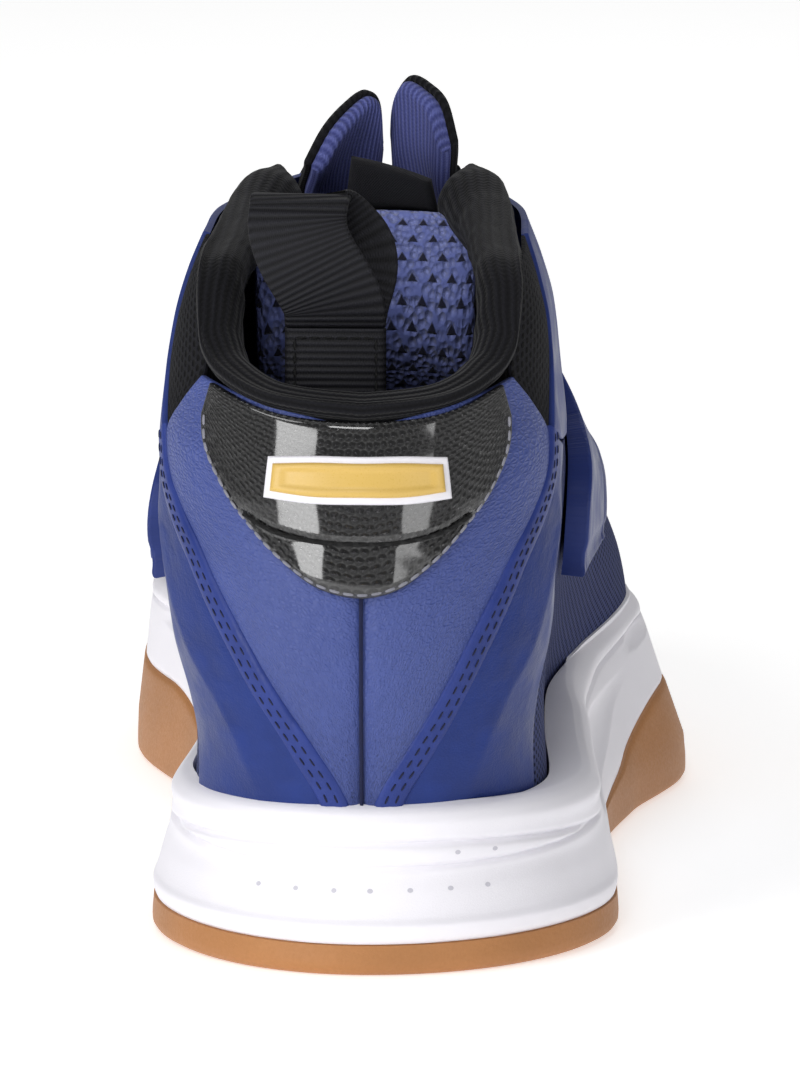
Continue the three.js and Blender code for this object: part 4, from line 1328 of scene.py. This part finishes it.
def strap_edge(points, top):
    flipped = [(2 * PI - phi, z) for phi, z in reversed(points)]
    return track(list(points) + [(PI, top)] + flipped)


def build_strap():
    uneven = soft(0.18, 15.0, 41)

    def relief(phi, z, s, t):
        rim = smooth(0.0, 0.012, s) * smooth(0.03, 0.018, s) + smooth(0.97, 0.982, s) * smooth(1.0, 0.988, s)
        edge = -0.4 * np.exp(-((t - 0.1) / 0.02) ** 2) - 0.4 * np.exp(-((t - 0.9) / 0.02) ** 2)
        return -0.45 * rim + edge + uneven(phi, z)

    fore, rear = strap_edge(STRAP_FORE, 88.5), strap_edge(STRAP_REAR, 117)

    def lie(s):
        ends = 2.2 * smooth(0.22, 0.08, s) + 2.2 * smooth(0.8, 0.92, s) + 2.8 * smooth(0.88, 0.97, s)
        return 1.1 + ends + 1.3 * smooth(0.24, 0.36, s) * smooth(0.76, 0.64, s)

    def under(s, t):
        return lerp(0.45, lie(s), smooth(0.02, 0.14, t) * smooth(0.98, 0.86, t))

    obj = panel("strap_band", fore, rear, 200, 44, 0.0, 1.6, MAT["strap"], 0.75, relief, lie, under)
    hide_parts("strap_base", "strap_flap")
    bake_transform(obj)
    rows = []
    for share in (0.1, 0.9):
        s = np.linspace(0.01, 0.99, 400)
        (phi_a, z_a), (phi_b, z_b) = fore(s), rear(s)
        phi, z = lerp(phi_a, phi_b, share), lerp(z_a, z_b, share)
        rows.append((hull(phi, z, 1.15 + lie(s)), hull_normal(phi, z)))
    obj = stitches("strap_stitches", rows, MAT["blue_thread"], 2.0, 0.45, 3.0)
    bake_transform(obj)


build_tongue()
build_laces()
build_strap()


# ---------------------------------------------------------------- pull loop
LOOP_WIDTH = 18.5
LOOP_X = -5.5
LOOP_ALONG = 25.0
LOOP_FOOT = 115.5


def tape(name, path, material, across=(1.0, 0, 0), thick=1.3, closed=False):
    """A flat tape along a path of (x, along, z) points; across is its width's direction, or one per point."""
    line = np.asarray(path, float)
    tangent = frames(line)
    outward = np.cross(np.broadcast_to(across, tangent.shape), tangent)
    return strip(name, line, outward, rounded(LOOP_WIDTH, thick, -thick / 2), material, closed)


def build_pull_loop():
    z = np.linspace(90, LOOP_FOOT, 60)
    along = LOOP_ALONG - 1.0 * smooth(99, 90, z)
    stem = tape("pull_loop_stem_tape", np.stack([LOOP_X + 0 * z, along, z], -1), MAT["webbing"], thick=2.6)
    place(stem, "shoe", "webbing", "pull_loop_stem")
    angle = np.linspace(0, 2 * PI, 160, endpoint=False)
    rise = (1 - np.cos(angle)) / 2
    near = np.sin(angle) < 0
    y = LOOP_ALONG + np.where(near, 6.2, 5.0) * np.sin(angle) * lerp(0.5, 1.1, rise)
    twist = np.where(near, -1.0, 5.5) * np.sin(angle) ** 2 * smooth(0, 0.6, rise)
    x = LOOP_X - 6.3 * smooth(0.1, 0.9, rise) + twist
    turn = -0.22 * smooth(0.2, 0.9, rise)
    across = np.stack([np.cos(turn), np.sin(turn), 0 * turn], -1)
    path = np.stack([x, y, lerp(LOOP_FOOT + 0.6, 139.4, rise)], -1)
    eye = tape("pull_loop_tape", path, MAT["webbing"], across, closed=True)
    place(eye, "pull_loop", "webbing", "pull_loop")
    rows = []
    for x0, x1, z0 in ((-7.4, 7.4, 113.8), (-7.4, -7.4, 96), (7.4, 7.4, 96)):
        x, z = LOOP_X + np.linspace(x0, x1, 30), np.linspace(z0, 113.8, 30)
        line = np.stack([x, np.full(30, LOOP_ALONG - 1.35) - smooth(99, 90, z), z], -1)
        rows.append((line, np.broadcast_to((0, -1.0, 0), line.shape)))
    place(stitches("pull_loop_stitches", rows, MAT["black_thread"], 1.9, 0.5, 2.4), "shoe", "webbing")


build_pull_loop()


# ---------------------------------------------------------------- vamp, toe cap, linings and hidden pieces
def build_forefoot():
    uneven = soft(0.3, 19.0, 51)
    bottom = [low(195), low(230), low(262), low(284), (PI, float(floor_height(295)) + 0.4)]
    top = [front(22, 72.2), front(17, 72.4), front(11, 72.5), front(5, 72.5), (PI, 72.5)]
    edges = track(over_front(bottom)), track(over_front(top))
    cloth = panel("vamp_mesh_skin", *edges, 160, 70, -1.2, -0.3, MAT["mesh"], 0.5,
                  lambda p, z, s, t: uneven(p, z))
    place(cloth, "shoe", "blue_mesh", "vamp_mesh")

    def on_lip(along):
        return side(along, float(lip_top(along)) - 0.5)

    cap_low = track(over_front([on_lip(214), on_lip(250), on_lip(278), (PI, 34.0)]))
    cap_top = track(over_front([side(214, 41), side(238, 47), side(262, 53), front(12, 60), (PI, 61)]))
    cap = panel("toe_cap_skin", cap_low, cap_top, 120, 26, -0.6, 1.5, MAT["eyestay"], 0.9,
                lambda p, z, s, t: 0.6 * uneven(p, z))
    place(cap, "shoe", "eyestay_synthetic", "toe_cap")


def build_linings():
    top = full_round([(0, 92), side(30, 92), side(66, 96)])
    bottom = full_round([(0, 22), side(30, 22), low(66)])
    heel = panel("heel_lining_skin", track(bottom), track(top), 90, 50, -6.2, -5.2, MAT["knit"], 0.3)
    place(heel, "shoe", "knit", "heel_lining")
    for name, turn in SIDES:
        bottom = [low(66), low(100), low(140), low(191)]
        top = [side(65.6, 96), side(90, 98), side(130, 84), front(24, 71)]
        edges = track(turn(bottom)), track(turn(top))
        obj = panel("quarter_lining_skin_" + name, *edges, 70, 40, -6.2, -5.2, MAT["knit"], 0.3)
        place(obj, "shoe", "knit", "quarter_lining_" + name)
    bottom = over_front([low(190), low(225), low(258), low(282), (PI, float(floor_height(290)) + 0.4)])
    top = over_front([front(23, 70), front(16, 70), front(8, 70), (PI, 70)])
    vamp = panel("vamp_lining_skin", track(bottom), track(top), 90, 40, -6.2, -5.2, MAT["knit"], 0.3)
    place(vamp, "shoe", "knit", "vamp_lining")


def build_sockliner():
    rings = []
    for depth, rise in ((-9.6, 0.0), (-8.8, 0.5), (-8.7, 2.0), (-9.2, 2.9), (-10.4, 3.3)):
        rings.append(upper_ring(depth, lambda a: floor_height(a) + 2.6 + rise))
    obj = ring_solid("sockliner_pad", rings, MAT["fabric"])
    place(obj, "sockliner", "sockliner_fabric", "sockliner")


HIDDEN = {
    "strobel_board": "board", "toe_puff": "board", "heel_counter": "board",
    "eyelet_strip_lateral": "plate", "eyelet_strip_medial": "plate",
    "strap_hook_pad": "hook", "strap_loop_pad": "hook", "strap_anchor": "hook",
}
build_forefoot()
build_linings()
build_sockliner()
for node_name, look in HIDDEN.items():
    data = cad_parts[node_name].data
    data.materials.clear()
    data.materials.append(MAT[look])


# ---------------------------------------------------------------- studio
def area_light(name, place_at, aim, size, power):
    data = bpy.data.lights.new(name, "AREA")
    data.shape = "RECTANGLE"
    data.size, data.size_y = size
    data.energy = power
    lamp = bpy.data.objects.new(name, data)
    lamp.location = place_at
    lamp.rotation_euler = (Vector(aim) - Vector(place_at)).to_track_quat("-Z", "Y").to_euler()
    bpy.context.collection.objects.link(lamp)
    return lamp


def build_studio():
    mesh = bpy.data.meshes.new("floor")
    mesh.from_pydata([(-6, -6, 0), (6, -6, 0), (6, 6, 0), (-6, 6, 0)], [], [(0, 1, 2, 3)])
    floor = bpy.data.objects.new("floor", mesh)
    bpy.context.collection.objects.link(floor)
    n = Nodes("studio floor", (0.93, 0.93, 0.93), 0.7, 0.15)
    n.set("Emission Color", (1, 1, 1, 1))
    n.set("Emission Strength", 0.5)
    mesh.materials.append(n.material)
    world = bpy.data.worlds.new("studio")
    world.use_nodes = True
    world.node_tree.nodes["Background"].inputs["Color"].default_value = (1, 1, 1, 1)
    world.node_tree.nodes["Background"].inputs["Strength"].default_value = 0.22
    bpy.context.scene.world = world
    target = (0, -0.06, 0.07)
    lamps = [
        area_light("key", (-1.05, -0.9, 1.2), target, (0.6, 0.6), 5),
        area_light("left_window", (-0.95, -1.35, 0.35), (0, -0.1, 0.09), (0.62, 0.6), 8.5),
        area_light("right_window", (0.95, -1.45, 0.35), (0, -0.1, 0.09), (0.44, 0.6), 2.9),
        area_light("rear", (0.1, 1.3, 1.5), (0, 0.2, 0), (1.6, 0.8), 9),
        area_light("opening", (-0.15, -1.2, 1.0), (0, -0.06, 0.12), (0.4, 0.4), 4),
    ]


def build_camera():
    data = bpy.data.cameras.new("photo")
    data.lens = 278.3
    data.sensor_width = 36
    data.clip_end = 20
    camera = bpy.data.objects.new("photo", data)
    camera.location = (0.0638, -1.6112, 0.3374)
    camera.rotation_euler = Vector((-0.0382, 0.9858, -0.1725)).to_track_quat("-Z", "Y").to_euler()
    bpy.context.collection.objects.link(camera)
    bpy.context.scene.camera = camera
    bpy.context.scene.view_settings.view_transform = "Standard"


build_studio()
build_camera()
